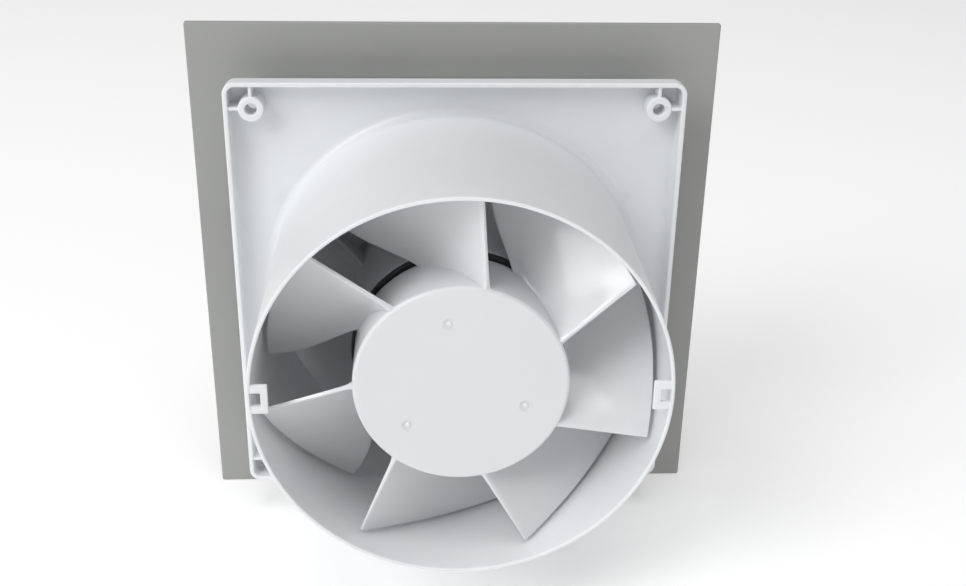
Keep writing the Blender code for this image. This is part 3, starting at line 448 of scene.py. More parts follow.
def corner_solids():
    """The four corner bosses, their ribs, their holes and the screw heads' recesses."""
    reach = BOSS_PITCH / 2
    wall = CASING_SIDE / 2 - SKIRT_THICK / 2
    rib_y = (TRAY_FLOOR_Y - ROOTED, RIB_TOP_Y)
    bosses, ribs, holes = [], [], []
    for sx, sz in ((1, 1), (-1, 1), (-1, -1), (1, -1)):
        x, z = sx * reach, sz * reach
        bosses.append(moved(rod(BOSS_RADIUS, (TRAY_FLOOR_Y - 1.2, BOSS_TOP_Y), 0.45), x, z))
        upright = sorted((z + sz * RIB_START, sz * wall))
        level = sorted((x + sx * RIB_START, sx * wall))
        ribs.append(block((x - RIB_THICK / 2, x + RIB_THICK / 2), rib_y, upright, 0.3))
        ribs.append(block(level, rib_y, (z - RIB_THICK / 2, z + RIB_THICK / 2), 0.3))
        holes.append(moved(flared(BOSS_HOLE_RADIUS, (PLATE_FRONT_Y - PAST, BOSS_TOP_Y), 0.25), x, z))
    recess_y = (PLATE_FRONT_Y - PAST, PLATE_FRONT_Y + BOSS_RECESS_DEPTH)
    recesses = [
        moved(rod(BOSS_RECESS_RADIUS, recess_y), x, z) for x in (reach, -reach) for z in (reach, -reach)
    ]
    return bosses, ribs, holes, recesses


def socket_solids():
    """Two small ears at the spigot's mouth, and the slots through them."""
    back = SPIGOT_END_Y - 0.2
    sockets, slots = [], []
    for degrees in (0.0, 180.0):
        ear = block(SOCKET_X, (back - SOCKET_DEPTH, back), (-SOCKET_HALF, SOCKET_HALF), 0.4)
        hole = block(SLOT_X, (back - SOCKET_DEPTH - PAST, back + PAST), (-SLOT_HALF, SLOT_HALF), 0.3)
        sockets.append(swung(ear, degrees))
        slots.append(swung(hole, degrees))
    return sockets, slots


def front_solids():
    """Room side: peg tubes for the panel, stubs for the bracket and clamps, and the block's seat."""
    tubes, bores = [], []
    tube_y = (PLATE_FRONT_Y + ROOTED, CARRIER_BACK_Y + GAP)
    for x in (PEG_X, -PEG_X):
        for z in (PEG_Z, -PEG_Z):
            tubes.append(moved(rod(PEG_TUBE_RADIUS, tube_y, 0.3), x, z))
            bores.append(moved(rod(PEG_RADIUS + GAP, (CARRIER_BACK_Y - PAST, PLATE_FRONT_Y - 0.3)), x, z))
    stub_spots = [spot(FOOT_SCREW_R, degrees) for degrees in ARM_ANGLES]
    stub_spots += [(CLAMP_X[0], CLAMP_Z), (CLAMP_X[1], CLAMP_Z), COVER_SCREW]
    for x, z in stub_spots:
        tubes.append(moved(rod(STUB_RADIUS, (PLATE_FRONT_Y + 0.7, ARM_FRONT_Y), 0.2), x, z))
        bores.append(moved(rod(PILOT_RADIUS, (ARM_FRONT_Y - PAST, PLATE_FRONT_Y + 1.4)), x, z))
    middle_z = sum(BLOCK_Z) / 2
    seat_y, seat_z = (PLATE_FRONT_Y + 0.6, SEAT_FRONT_Y), (middle_z - SEAT_HALF, middle_z + SEAT_HALF)
    for x in (BLOCK_X[0] - GAP - SEAT_THICK, BLOCK_X[1] + GAP):
        tubes.append(block((x, x + SEAT_THICK), seat_y, seat_z))
    cable_hole = rod(GROMMET_HOLE, (PLATE_FRONT_Y - PAST, TRAY_FLOOR_Y + PAST))
    bores.append(moved(cable_hole, *GROMMET_SPOT))
    return tubes, bores


def build_casing(paints):
    bosses, ribs, holes, recesses = corner_solids()
    sockets, slots = socket_solids()
    tubes, bores = front_solids()
    casing = combined("casing_shell", tray_solid(), [
        ("UNION", [spigot_solid()]),
        ("DIFFERENCE", [bore_solid()]),
        ("UNION", bosses),
        ("UNION", ribs),
        ("DIFFERENCE", holes),
        ("DIFFERENCE", recesses),
        ("UNION", sockets),
        ("DIFFERENCE", slots),
        ("UNION", tubes),
        ("DIFFERENCE", bores),
    ])
    shown(casing, "housing", paints["white_abs"], ["base_casing"])


# ---- Motor bracket and damping ring -------------------------------------------------------------

def arm_solids():
    """Flat arms, each with two edge ribs on the room side and two gussets against the cup."""
    root = CUP_RADIUS - CUP_WALL / 2
    outline = eased([
        (-root, -ARM_HALF_ROOT, 0), (-ARM_END, -ARM_HALF_TIP, 2.0), (-ARM_END, ARM_HALF_TIP, 2.0),
        (-root, ARM_HALF_ROOT, 0),
    ], closed=True, steps=6)
    plates, ribs, gussets, holes = [], [], [], []
    for degrees in ARM_ANGLES:
        plates.append(swung(prism(outline, (ARM_FRONT_Y, ARM_BACK_Y), 0.3), degrees))
        for sign in (1, -1):
            rib_z = sign * (ARM_HALF_TIP - 1.0)
            rib_span = (rib_z - ARM_RIB_HALF, rib_z + ARM_RIB_HALF)
            rib = block(ARM_RIB_X, (ARM_FRONT_Y - ARM_RIB_HEIGHT, ARM_BACK_Y - 1.1), rib_span, 0.3)
            ribs.append(swung(rib, degrees))
            gusset_z = sign * GUSSET_OFFSET
            side = [
                (GUSSET_ROOT_X, ARM_BACK_Y - 0.9), (GUSSET_END_X, ARM_BACK_Y - 0.9),
                (GUSSET_END_X + 0.6, ARM_BACK_Y + 0.6), (GUSSET_ROOT_X, GUSSET_TOP_Y),
            ]
            rings = [[(x, y, gusset_z + edge) for x, y in side] for edge in (-GUSSET_HALF, GUSSET_HALF)]
            gussets.append(swung(softened(lofted(rings), 0.2), degrees))
        hole = rod(STUB_RADIUS + GAP, (ARM_FRONT_Y - PAST, ARM_BACK_Y + PAST))
        holes.append(moved(hole, *spot(FOOT_SCREW_R, degrees)))
    return plates, ribs, gussets, holes


def build_bracket(paints):
    inner = CUP_RADIUS - CUP_WALL
    cup = turned(eased([
        (0, CUP_FLOOR_FRONT_Y, 0), (CUP_RADIUS, CUP_FLOOR_FRONT_Y, 1.2), (CUP_RADIUS - 0.3, CUP_END_Y, 0.4),
        (inner, CUP_END_Y, 0.4), (inner, CUP_FLOOR_BACK_Y, 0.6), (0, CUP_FLOOR_BACK_Y, 0),
    ]), ROUND_FINE)
    plates, ribs, gussets, holes = arm_solids()
    floor_span = (CUP_FLOOR_FRONT_Y - PAST, CUP_FLOOR_BACK_Y + PAST)
    for degrees in MOTOR_POST_ANGLES:
        holes.append(moved(rod(PILOT_RADIUS, floor_span), *spot(MOTOR_POST_CIRCLE, degrees)))
    holes.append(moved(rod(LEAD_HOLE_RADIUS, floor_span), *spot(LEAD_HOLE_CIRCLE, LEAD_HOLE_ANGLE)))
    bracket = combined("bracket_casting", cup, [
        ("UNION", plates), ("UNION", ribs), ("UNION", gussets), ("DIFFERENCE", holes),
    ])
    shown(bracket, "housing", paints["white_abs"], ["motor_bracket"])

    seat_r, seat_y, flange_r = inner - GAP, CUP_END_Y + GAP, CUP_RADIUS - 0.3
    ring = solid_object("damping_collar", turned(eased([
        (DAMPER_HOLE_RADIUS, DAMPER_FRONT_Y, 0.3), (seat_r, DAMPER_FRONT_Y, 0.3), (seat_r, seat_y, 0),
        (flange_r, seat_y, 0.3), (flange_r, DAMPER_BACK_Y, 0.7), (DAMPER_HOLE_RADIUS, DAMPER_BACK_Y, 0.7),
    ], closed=True), ROUND))
    shown(ring, "housing", paints["black_rubber"], ["damping_ring"])


# ---- Windings -----------------------------------------------------------------------------------

def wire_row(length):
    """A row of wires over this length, as (share of the length, height of the ridge) pairs."""
    wires = round(length / WIRE_PITCH)
    shares = [step / (wires * WIRE_STEPS) for step in range(wires * WIRE_STEPS + 1)]
    return [(share, WIRE_BULGE * abs(math.sin(math.pi * share * wires))) for share in shares]


def coil_section():
    """One turn's cut through a coil: (outward, radial) points, with a ridge for each wire."""
    inset = 0.1
    depth, build = COIL_OUTER - COIL_INNER, COIL_BUILD - inset
    ends, top = wire_row(COIL_BUILD), wire_row(depth)
    points = [(0.0, COIL_OUTER), (0.0, COIL_INNER)]
    points += [(share * build + inset / 2, COIL_INNER + inset - lift) for share, lift in ends]
    points += [(build + lift, COIL_INNER + inset + share * (depth - 2 * inset)) for share, lift in top]
    points += [(share * build + inset / 2, COIL_OUTER - inset + lift) for share, lift in reversed(ends)]
    return points


def coil_solid():
    """A coil wound round a neck that points along -X."""
    section = coil_section()
    middle_y = sum(COIL_HOLE_Y) / 2
    half_y = (COIL_HOLE_Y[1] - COIL_HOLE_Y[0]) / 2
    rings = []
    for quarter, (sz, sy) in enumerate(((1, 1), (-1, 1), (-1, -1), (1, -1))):
        for step in range(COIL_CORNER_STEPS + 1):
            angle = math.radians(90 * (quarter + step / COIL_CORNER_STEPS))
            normal_z, normal_y = math.cos(angle), math.sin(angle)
            base_z = sz * (COIL_HOLE_HALF - COIL_CORNER) + COIL_CORNER * normal_z
            base_y = middle_y + sy * (half_y - COIL_CORNER) + COIL_CORNER * normal_y
            stretch_y = normal_y * COIL_BUILD_Y / COIL_BUILD
            rings.append([
                (-radial, base_y + outward * stretch_y, base_z + outward * normal_z)
                for outward, radial in section
            ])
    return lofted(rings, ring_shaped=True)


def build_coils(paints):
    slot = "enamelled_copper"
    for number, degrees in enumerate(POLE_ANGLES, 1):
        coil = solid_object(f"winding_{number}", swung(coil_solid(), degrees))
        shown(coil, "housing", paints[slot], [f"stator_coil_{number}"], crease=80.0)


# ---- Impeller -----------------------------------------------------------------------------------

def hub_solid():
    """The hub's cup, with the boss that sits on the shaft."""
    inner = HUB_RADIUS - HUB_WALL
    ceiling = HUB_FACE_Y - HUB_FACE_THICK
    profile = eased([
        (0, HUB_FACE_Y, 0), (HUB_RADIUS - 0.1, HUB_FACE_Y, HUB_EDGE), (HUB_RADIUS, HUB_OPEN_Y, 0.4),
        (inner, HUB_OPEN_Y, 0.3), (inner - 0.1, ceiling, 1.0), (HUB_BOSS_RADIUS + 0.4, ceiling, 0.8),
        (HUB_BOSS_RADIUS, HUB_BOSS_Y, 0.3), (SHAFT_FIT, HUB_BOSS_Y, 0.2), (SHAFT_FIT, SHAFT_BACK_Y + GAP, 0),
        (0, SHAFT_BACK_Y + GAP, 0),
    ], steps=8)
    return turned(profile, ROUND_FINE)


def blade_point(span, chord):
    """A point on the blade's middle surface: span runs from root to tip, and chord from back to front."""
    radius = BLADE_ROOT_RADIUS + (BLADE_TIP_RADIUS - BLADE_ROOT_RADIUS) * span
    root_x, root_z = spot(BLADE_ROOT_RADIUS, BLADE_ROOT_ANGLE)
    tip_x, tip_z = spot(BLADE_TIP_RADIUS, BLADE_TIP_ANGLE)
    edge_x, edge_z = root_x + (tip_x - root_x) * span, root_z + (tip_z - root_z) * span
    back_angle = math.degrees(math.atan2(edge_z, -edge_x))
    tip_sweep = BLADE_TIP_ANGLE + BLADE_TIP_SWEEP
    root_sweep = BLADE_ROOT_ANGLE + BLADE_ROOT_SWEEP
    spread = 1 - max(1 - span, 0.0) ** BLADE_FRONT_POWER
    front_angle = root_sweep + (tip_sweep - root_sweep) * spread
    front_y = BLADE_ROOT_FRONT_Y + (BLADE_TIP_FRONT_Y - BLADE_ROOT_FRONT_Y) * spread
    fall = chord + BLADE_CAMBER * chord * (1 - chord)
    x, z = spot(radius, back_angle + (front_angle - back_angle) * chord)
    return Vector((x, BLADE_BACK_Y + (front_y - BLADE_BACK_Y) * fall, z))


def blade_section(span):
    """A closed section of the blade with rounded edges, thicker where it runs into the hub."""
    step = 0.004
    thick = BLADE_ROOT_THICK + (BLADE_TIP_THICK - BLADE_ROOT_THICK) * span
    out_of_hub = (BLADE_TIP_RADIUS - BLADE_ROOT_RADIUS) * span - (HUB_RADIUS - BLADE_ROOT_RADIUS)
    thick += ROOT_FILLET * math.exp(-max(out_of_hub, 0.0) / ROOT_FILLET_REACH)
    upper, lower = [], []
    for index in range(BLADE_CHORDS + 1):
        chord = 0.5 - 0.5 * math.cos(math.pi * index / BLADE_CHORDS)
        along = blade_point(span + step, chord) - blade_point(span - step, chord)
        across = blade_point(span, chord + step) - blade_point(span, chord - step)
        normal = along.cross(across).normalized()
        from_edge = min(min(chord, 1 - chord) / EDGE_ROUNDING, 1.0)
        rounding = math.sqrt(1 - (1 - from_edge) ** 2)
        belly = EDGE_FULLNESS + (1 - EDGE_FULLNESS) * math.sqrt(4 * chord * (1 - chord))
        fullness = belly * max(rounding, EDGE_FLAT)
        middle = blade_point(span, chord)
        upper.append(middle + normal * (thick * fullness / 2))
        lower.append(middle - normal * (thick * fullness / 2))
    return upper + lower[::-1]


def blade_solid():
    """One blade, with its sections closer together near the hub, where the fillet is."""
    crowding = 1.5
    spans = [(step / BLADE_SPANS) ** crowding for step in range(BLADE_SPANS + 1)]
    return lofted([blade_section(span) for span in spans])


def dimple_cutter():
    """A shallow round dish that leaves a small gate mark in its middle."""
    return turned([
        (0, HUB_FACE_Y - 0.12), (0.6, HUB_FACE_Y - 0.16), (0.9, HUB_FACE_Y - DIMPLE_DEPTH),
        (1.7, HUB_FACE_Y - DIMPLE_DEPTH + 0.03), (DIMPLE_RADIUS, HUB_FACE_Y + 0.02),
        (DIMPLE_RADIUS, HUB_FACE_Y + PAST), (0, HUB_FACE_Y + PAST),
    ], ROUND_SMALL)


def build_impeller(paints):
    blades = [swung(blade_solid(), number * 360 / BLADES) for number in range(BLADES)]
    dimples = [moved(dimple_cutter(), *spot(DIMPLE_CIRCLE, degrees)) for degrees in DIMPLE_ANGLES]
    wheel = combined("impeller_wheel", hub_solid(), [("UNION", blades), ("DIFFERENCE", dimples)])
    shown(wheel, "impeller", paints["white_impeller"], ["impeller"], crease=38.0)


# ---- Panel and carrier --------------------------------------------------------------------------

def square_plate(stations, corner, corner_steps):
    """A square plate through (half side, y) stations."""
    return lofted([
        [(x, y, z) for x, z in rounded_square(reach, reach, corner, corner_steps)] for reach, y in stations
    ])


def build_panel(paints):
    half = PANEL_SIDE / 2
    stations = eased([
        (half - 1.5, PANEL_FRONT_Y, 0), (half, PANEL_FRONT_Y, PANEL_EASE), (half, PANEL_BACK_Y, PANEL_EASE),
        (half - 1.5, PANEL_BACK_Y, 0),
    ])
    sheet = solid_object("decor_sheet", square_plate(stations, PANEL_CORNER_RADIUS, 6))
    shown(sheet, "front_panel", paints["grey_panel"], ["front_panel"])


def build_carrier(paints):
    """The white plate on the panel's back, with its four pegs."""
    outer, inner = CARRIER_SIDE / 2, CARRIER_SIDE / 2 - CARRIER_BORDER
    dish_y = CARRIER_FRONT_Y + CARRIER_DISH
    stations = eased([
        (inner - 2.0, dish_y, 0), (inner, dish_y, 0.4), (inner, CARRIER_FRONT_Y, 0.3),
        (outer, CARRIER_FRONT_Y, 0.3), (outer, CARRIER_BACK_Y, 0.6), (outer - 2.0, CARRIER_BACK_Y, 0),
    ])
    root, tip = CARRIER_BACK_Y - 1.0, CARRIER_BACK_Y + PEG_LENGTH
    pegs = []
    for x in (PEG_X, -PEG_X):
        for z in (PEG_Z, -PEG_Z):
            peg = turned(eased([
                (0, root, 0), (PEG_RADIUS, root, 0), (PEG_RADIUS, tip - 1.0, 0.5),
                (PEG_RADIUS - 0.7, tip, 0.3), (0, tip, 0),
            ]), ROUND_SMALL)
            pegs.append(moved(peg, x, z))
    carrier = combined("carrier_plate", square_plate(stations, CARRIER_CHAMFER, 1), [("UNION", pegs)])
    shown(carrier, "front_panel", paints["white_abs"], ["panel_carrier"])


# ---- Fixings and electrical fittings ------------------------------------------------------------

def cross_recess(head_radius, crown_y):
    """Two tapered wedges that cut a cross into a screw's head."""
    mouth = (crown_y - 0.5, 0.62 * head_radius, 0.52)
    bottom = (crown_y + 1.3, 0.2 * head_radius, 0.3)
    wedges = []
    for across in (False, True):
        rings = []
        for y, long_half, half in (mouth, bottom):
            corners = [(-long_half, -half), (long_half, -half), (long_half, half), (-long_half, half)]
            rings.append([(b, y, a) if across else (a, y, b) for a, b in corners])
        wedges.append(lofted(rings))
    return wedges


def screw_mesh(name, head_y, tip_y, head_radius):
    """A pan-head screw on the Y axis, driven from the room side, with a cross recess."""
    crown = head_y - SCREW_HEAD
    profile = eased([
        (0, crown, 0), (head_radius * 0.78, crown, 0.9), (head_radius, head_y - 0.9, 0.5),
        (head_radius, head_y, 0.15), (SHANK_RADIUS, head_y, 0), (SHANK_RADIUS, tip_y - 0.8, 0), (0, tip_y, 0),
    ], steps=6)
    recess = cross_recess(head_radius, crown)
    screw = combined(name, turned(profile, ROUND_SMALL), [("DIFFERENCE", [wedge]) for wedge in recess])
    mesh = screw.data
    bpy.data.objects.remove(screw, do_unlink=True)
    return mesh


def place_screws(name, node, spots, head_y, head_radius, material, tip_y=SCREW_TIP_Y):
    """Equal screws at these (x, z) spots, with one mesh between them."""
    mesh = screw_mesh(name, head_y, tip_y, head_radius)
    for number, (x, z) in enumerate(spots, 1):
        suffix = "" if len(spots) == 1 else f"_{number}"
        screw = bpy.data.objects.new(name + suffix, mesh)
        bpy.context.scene.collection.objects.link(screw)
        screw.location = (x * MM, 0.0, z * MM)
        shown(screw, "housing", material, [node + suffix])


def build_fixings(paints):
    steel = paints["steel"]
    foot_spots = [spot(FOOT_SCREW_R, degrees) for degrees in ARM_ANGLES]
    place_screws("foot_screw", "bracket_screw", foot_spots, ARM_FRONT_Y - GAP, 3.4, steel)
    post_spots = [spot(MOTOR_POST_CIRCLE, degrees) for degrees in MOTOR_POST_ANGLES]
    place_screws("post_screw", "motor_screw", post_spots, CUP_FLOOR_FRONT_Y - GAP, 3.0, steel, tip_y=-3.0)
    clamp_spots = [(x, CLAMP_Z) for x in CLAMP_X]
    clamp_head_y = STUB_SEAT_Y - CLAMP_THICK - GAP
    place_screws("strap_screw", "clamp_screw", clamp_spots, clamp_head_y, 2.6, steel)
    cover_head_y = STUB_SEAT_Y - COVER_EAR_THICK - GAP
    place_screws("cap_screw", "cover_screw", [COVER_SCREW], cover_head_y, 2.6, steel)


def build_terminals(paints):
    """The two-pole block, with a groove between its poles and a slotted screw in each well."""
    middle_x, middle_z = sum(BLOCK_X) / 2, sum(BLOCK_Z) / 2
    wells = [(middle_x + dx, z) for z in POLE_Z for dx in (-WELL_HALF_PITCH, WELL_HALF_PITCH)]
    well_cutters = [moved(rod(WELL_RADIUS, (BLOCK_FRONT_Y - PAST, WELL_END_Y)), x, z) for x, z in wells]
    body = block(BLOCK_X, (BLOCK_FRONT_Y, BLOCK_BACK_Y), BLOCK_Z, 0.4)
    groove = block(
        (BLOCK_X[0] - PAST, BLOCK_X[1] + PAST), (BLOCK_FRONT_Y - PAST, BLOCK_FRONT_Y + 1.2),
        (middle_z - 0.4, middle_z + 0.4), 0,
    )
    terminal = combined("terminal_body", body, [("DIFFERENCE", well_cutters), ("DIFFERENCE", [groove])])
    shown(terminal, "housing", paints["natural_polyamide"], ["terminal_block"])

    pin_radius, pin_y = WELL_RADIUS - GAP, (WELL_END_Y - GAP, BLOCK_FRONT_Y + 0.8)
    pin = rod(pin_radius, pin_y, 0.25)
    slit = block((-2.0, 2.0), (BLOCK_FRONT_Y, BLOCK_FRONT_Y + 1.5), (-0.25, 0.25), 0)
    first = combined("pinch_screw_1", pin, [("DIFFERENCE", [slit])])
    for number, (x, z) in enumerate(wells, 1):
        screw = first if number == 1 else bpy.data.objects.new(f"pinch_screw_{number}", first.data)
        if number > 1:
            bpy.context.scene.collection.objects.link(screw)
        screw.location = (x * MM, 0.0, z * MM)
        shown(screw, "housing", paints["steel"], [f"terminal_screw_{number}"])


def build_cable_fittings(paints):
    """The clamp that holds the cord, and the grommet that it comes in through."""
    low_x, high_x = CLAMP_X
    strap_y, groove_y = (STUB_SEAT_Y - CLAMP_THICK, STUB_SEAT_Y), (STUB_SEAT_Y - 0.9, STUB_SEAT_Y + PAST)
    strap = block((low_x - 3.0, high_x + 3.0), strap_y, (CLAMP_Z - CLAMP_HALF, CLAMP_Z + CLAMP_HALF), 0.5)
    groove = block((low_x + 3.2, high_x - 3.2), groove_y, (CLAMP_Z - 4.0, CLAMP_Z + 4.0), 0.2)
    hole_y = (STUB_SEAT_Y - CLAMP_THICK - PAST, STUB_SEAT_Y + PAST)
    holes = [moved(rod(PILOT_RADIUS, hole_y), x, CLAMP_Z) for x in CLAMP_X]
    clamp = combined("cable_strap", strap, [("DIFFERENCE", [groove]), ("DIFFERENCE", holes)])
    shown(clamp, "housing", paints["white_abs"], ["cable_clamp"])

    near_y, far_y = PLATE_FRONT_Y - GAP, TRAY_FLOOR_Y + GAP
    grommet = turned(eased([
        (GROMMET_BORE, GROMMET_FRONT_Y, 0.4), (GROMMET_FLANGE, GROMMET_FRONT_Y, 0.5),
        (GROMMET_FLANGE, near_y, 0.1), (GROMMET_NECK, near_y, 0),
        (GROMMET_NECK, far_y, 0), (GROMMET_FLANGE, far_y, 0.1),
        (GROMMET_FLANGE, GROMMET_BACK_Y, 0.5), (GROMMET_BORE, GROMMET_BACK_Y, 0.4),
    ], closed=True), ROUND_SMALL)
    inlet = solid_object("inlet_grommet", moved(grommet, *GROMMET_SPOT))
    shown(inlet, "housing", paints["black_rubber"], ["cable_grommet"])


def build_cover(paints):
    """The cap over the terminal block, with one screw ear and notches for the wires."""
    side = GAP + SEAT_THICK + GAP + COVER_WALL
    low_x, high_x = BLOCK_X[0] - side, BLOCK_X[1] + side
    low_z, high_z = BLOCK_Z[0] - GAP - COVER_WALL, BLOCK_Z[1] + GAP + COVER_WALL
    shell = block((low_x, high_x), (COVER_FRONT_Y, BLOCK_BACK_Y), (low_z, high_z), 0.6)
    hollow = block(
        (low_x + COVER_WALL, high_x - COVER_WALL), (BLOCK_FRONT_Y - GAP, -8.0),
        (low_z + COVER_WALL, high_z - COVER_WALL), 0.2,
    )
    ear_front = STUB_SEAT_Y - COVER_EAR_THICK
    screw_x, screw_z = COVER_SCREW
    ear = block(
        (screw_x - COVER_EAR_REACH, screw_x + COVER_EAR_REACH), (ear_front, STUB_SEAT_Y),
        (high_z - 0.5, screw_z + COVER_EAR_REACH), 0.4,
    )
    ear_hole = moved(rod(PILOT_RADIUS, (ear_front - PAST, STUB_SEAT_Y + PAST)), screw_x, screw_z)
    lead_z = (POLE_Z[0] - 1.4, POLE_Z[1] + 1.4)
    lead_notch = block((high_x - 2.0, high_x + PAST), (LEAD_Y - 1.4, -8.0), lead_z, 0)
    mains_notch = block((low_x - PAST, low_x + 2.0), (-15.0, -8.0), (-59.0, -54.0), 0)
    cover = combined("terminal_cap", shell, [
        ("UNION", [ear]), ("DIFFERENCE", [hollow]), ("DIFFERENCE", [ear_hole, lead_notch, mains_notch]),
    ])
    shown(cover, "housing", paints["white_abs"], ["terminal_cover"])


def lead_route(side, end_z):
    """One motor lead: out of the winding, through the cup's floor, down the lower arm, to the block.

    The side is 1 or -1, and the points are listed one by one, as in the part.
    """
    near = side * 1.15
    drop = -5.6 + side * 1.0
    turn_z = -65.4 - side * 1.2
    return [
        (near, 2.2, -19.0), (near, -3.5, -19.2), (near, -6.5, -22.0), (near, -8.2, -25.8),
        (near, -10.8, -26.5), (near, -12.4, -27.2), (near, LEAD_Y - 0.7, -28.9), (near - 0.6, LEAD_Y, -32.0),
        (drop + 1.0, LEAD_Y, -42.0), (drop, LEAD_Y, -50.0), (drop, LEAD_Y, turn_z + 4.0),
        (drop - 1.2, LEAD_Y, turn_z + 1.2), (drop - 4.0, LEAD_Y, turn_z),
        (-24.0, LEAD_Y, turn_z), (-33.0, LEAD_Y, end_z + 0.2 * (turn_z - end_z)),
        (BLOCK_X[1] + GAP, LEAD_Y, end_z),
    ]


def smoothed(route, rounds=3):
    """Cuts the corners of a route, round after round, into a smooth line with the same ends."""
    points = [Vector(point) for point in route]
    for _ in range(rounds):
        finer = [points[0]]
        for here, there in zip(points, points[1:]):
            finer += [here.lerp(there, 0.25), here.lerp(there, 0.75)]
        points = finer + [points[-1]]
    return points


def tube_solid(points):
    """A round lead along a line, with its sections kept from twisting."""
    angles = [math.tau * i / LEAD_SIDES for i in range(LEAD_SIDES)]
    depth_axis, width_axis = Vector((0, 1, 0)), Vector((1, 0, 0))
    rings, last_side = [], None
    for index, point in enumerate(points):
        before, after = points[max(index - 1, 0)], points[min(index + 1, len(points) - 1)]
        along = (after - before).normalized()
        level = abs(along.dot(depth_axis)) < 0.95
        side = along.cross(depth_axis if level else width_axis).normalized()
        if last_side is not None:
            side = side if side.dot(last_side) >= 0 else -side
            side = (side + last_side).normalized()
        side = (side - along * side.dot(along)).normalized()
        last_side = side
        other = along.cross(side)
        rings.append([
            point + (side * math.cos(angle) + other * math.sin(angle)) * LEAD_RADIUS for angle in angles
        ])
    return lofted(rings)


def build_leads(paints):
    live_z, neutral_z = POLE_Z
    leads = (("live", 1, live_z, "brown_wire"), ("neutral", -1, neutral_z, "blue_wire"))
    for name, side, end_z, paint in leads:
        lead = solid_object(f"{name}_lead", tube_solid(smoothed(lead_route(side, end_z))))
        shown(lead, "housing", paints[paint], [f"motor_lead_{name}"])


# ---- Materials ----------------------------------------------------------------------------------

class Recipe:
    """A node material on one Principled shader, with helpers for procedural detail in object space."""

    def __init__(self, name, colour, roughness, metallic=0.0):
        self.material = bpy.data.materials.new(name)
        self.material.use_nodes = True
        self.tree = self.material.node_tree
        self.shader = self.tree.nodes["Principled BSDF"]
        self.colour = colour
        self.roughness = roughness
        self.set("Base Color", (*colour, 1.0))
        self.set("Roughness", roughness)
        self.set("Metallic", metallic)
        self.place = self.tree.nodes.new("ShaderNodeTexCoord").outputs["Object"]

    def set(self, socket, value):
        self.shader.inputs[socket].default_value = value

    def link(self, out, into):
        self.tree.links.new(out, into)

    def noise(self, size_mm, detail=3.0, stretch=(1.0, 1.0, 1.0)):
        """Noise whose blobs are about this many millimetres across, stretched along the axes."""
        mapping = self.tree.nodes.new("ShaderNodeMapping")
        mapping.inputs["Scale"].default_value = [1.0 / s for s in stretch]
        self.link(self.place, mapping.inputs["Vector"])
        node = self.tree.nodes.new("ShaderNodeTexNoise")
        node.inputs["Scale"].default_value = 1.0 / (size_mm * MM)
        node.inputs["Detail"].default_value = detail
        self.link(mapping.outputs["Vector"], node.inputs["Vector"])
        return node.outputs["Fac"]

    def ranged(self, value, low, high):
        """Stretches the middle of a 0 to 1 value over a new range."""
        node = self.tree.nodes.new("ShaderNodeMapRange")
        node.inputs["From Min"].default_value = 0.3
        node.inputs["From Max"].default_value = 0.7
        node.inputs["To Min"].default_value = low
        node.inputs["To Max"].default_value = high
        self.link(value, node.inputs["Value"])
        return node.outputs["Result"]

    def tinted(self, value, other, low=0.3, high=0.7):
        """The base colour drifts towards another colour as the value rises from low to high."""
        ramp = self.tree.nodes.new("ShaderNodeValToRGB")
        ramp.color_ramp.elements[0].position = low
        ramp.color_ramp.elements[0].color = (*self.colour, 1.0)
        ramp.color_ramp.elements[1].position = high
        ramp.color_ramp.elements[1].color = (*other, 1.0)
        self.link(value, ramp.inputs["Fac"])
        self.link(ramp.outputs["Color"], self.shader.inputs["Base Color"])
        return self

    def uneven_gloss(self, value, spread):
        """The roughness wanders up and down by the spread."""
        gloss = self.ranged(value, self.roughness - spread, self.roughness + spread)
        self.link(gloss, self.shader.inputs["Roughness"])
        return self

    def bumped(self, *layers):
        """Bump from (value, height in mm) layers, one on top of another."""
        normal = None
        for value, height in layers:
            node = self.tree.nodes.new("ShaderNodeBump")
            node.inputs["Distance"].default_value = height * MM
            node.inputs["Strength"].default_value = 1.0
            self.link(value, node.inputs["Height"])
            if normal is not None:
                self.link(normal, node.inputs["Normal"])
            normal = node.outputs["Normal"]
        self.link(normal, self.shader.inputs["Normal"])
        return self

    def sheets(self, pitch_mm):
        """Even bands along Y, for stacked sheets."""
        node = self.tree.nodes.new("ShaderNodeTexWave")
        node.wave_type = "BANDS"
        node.bands_direction = "Y"
        node.inputs["Scale"].default_value = math.pi / 10 / (pitch_mm * MM)
        node.inputs["Distortion"].default_value = 0.0
        self.link(self.place, node.inputs["Vector"])
        return node.outputs["Fac"]


def moulded(name, colour, roughness, shade, grain_mm=0.35, height=0.006):
    """Moulded plastic: fine grain, faint flow marks, and a slow drift in colour and gloss."""
    recipe = Recipe(name, colour, roughness)
    recipe.tinted(recipe.noise(26.0, 2.0), shade)
    recipe.uneven_gloss(recipe.noise(7.0, 4.0), 0.03)
    recipe.bumped((recipe.noise(14.0, 1.0), 0.02), (recipe.noise(grain_mm, 2.0), height))
    return recipe


def turned_metal(name, colour, roughness, shade, stretch=(6.0, 1.0, 6.0)):
    """Machined or plated metal, with fine tool marks that run round the Y axis where it is stretched."""
    recipe = Recipe(name, colour, roughness, metallic=1.0)
    recipe.tinted(recipe.noise(3.0, 4.0), shade)
    recipe.uneven_gloss(recipe.noise(1.5, 4.0), 0.08)
    recipe.bumped((recipe.noise(0.12, 3.0, stretch), 0.004))
    return recipe


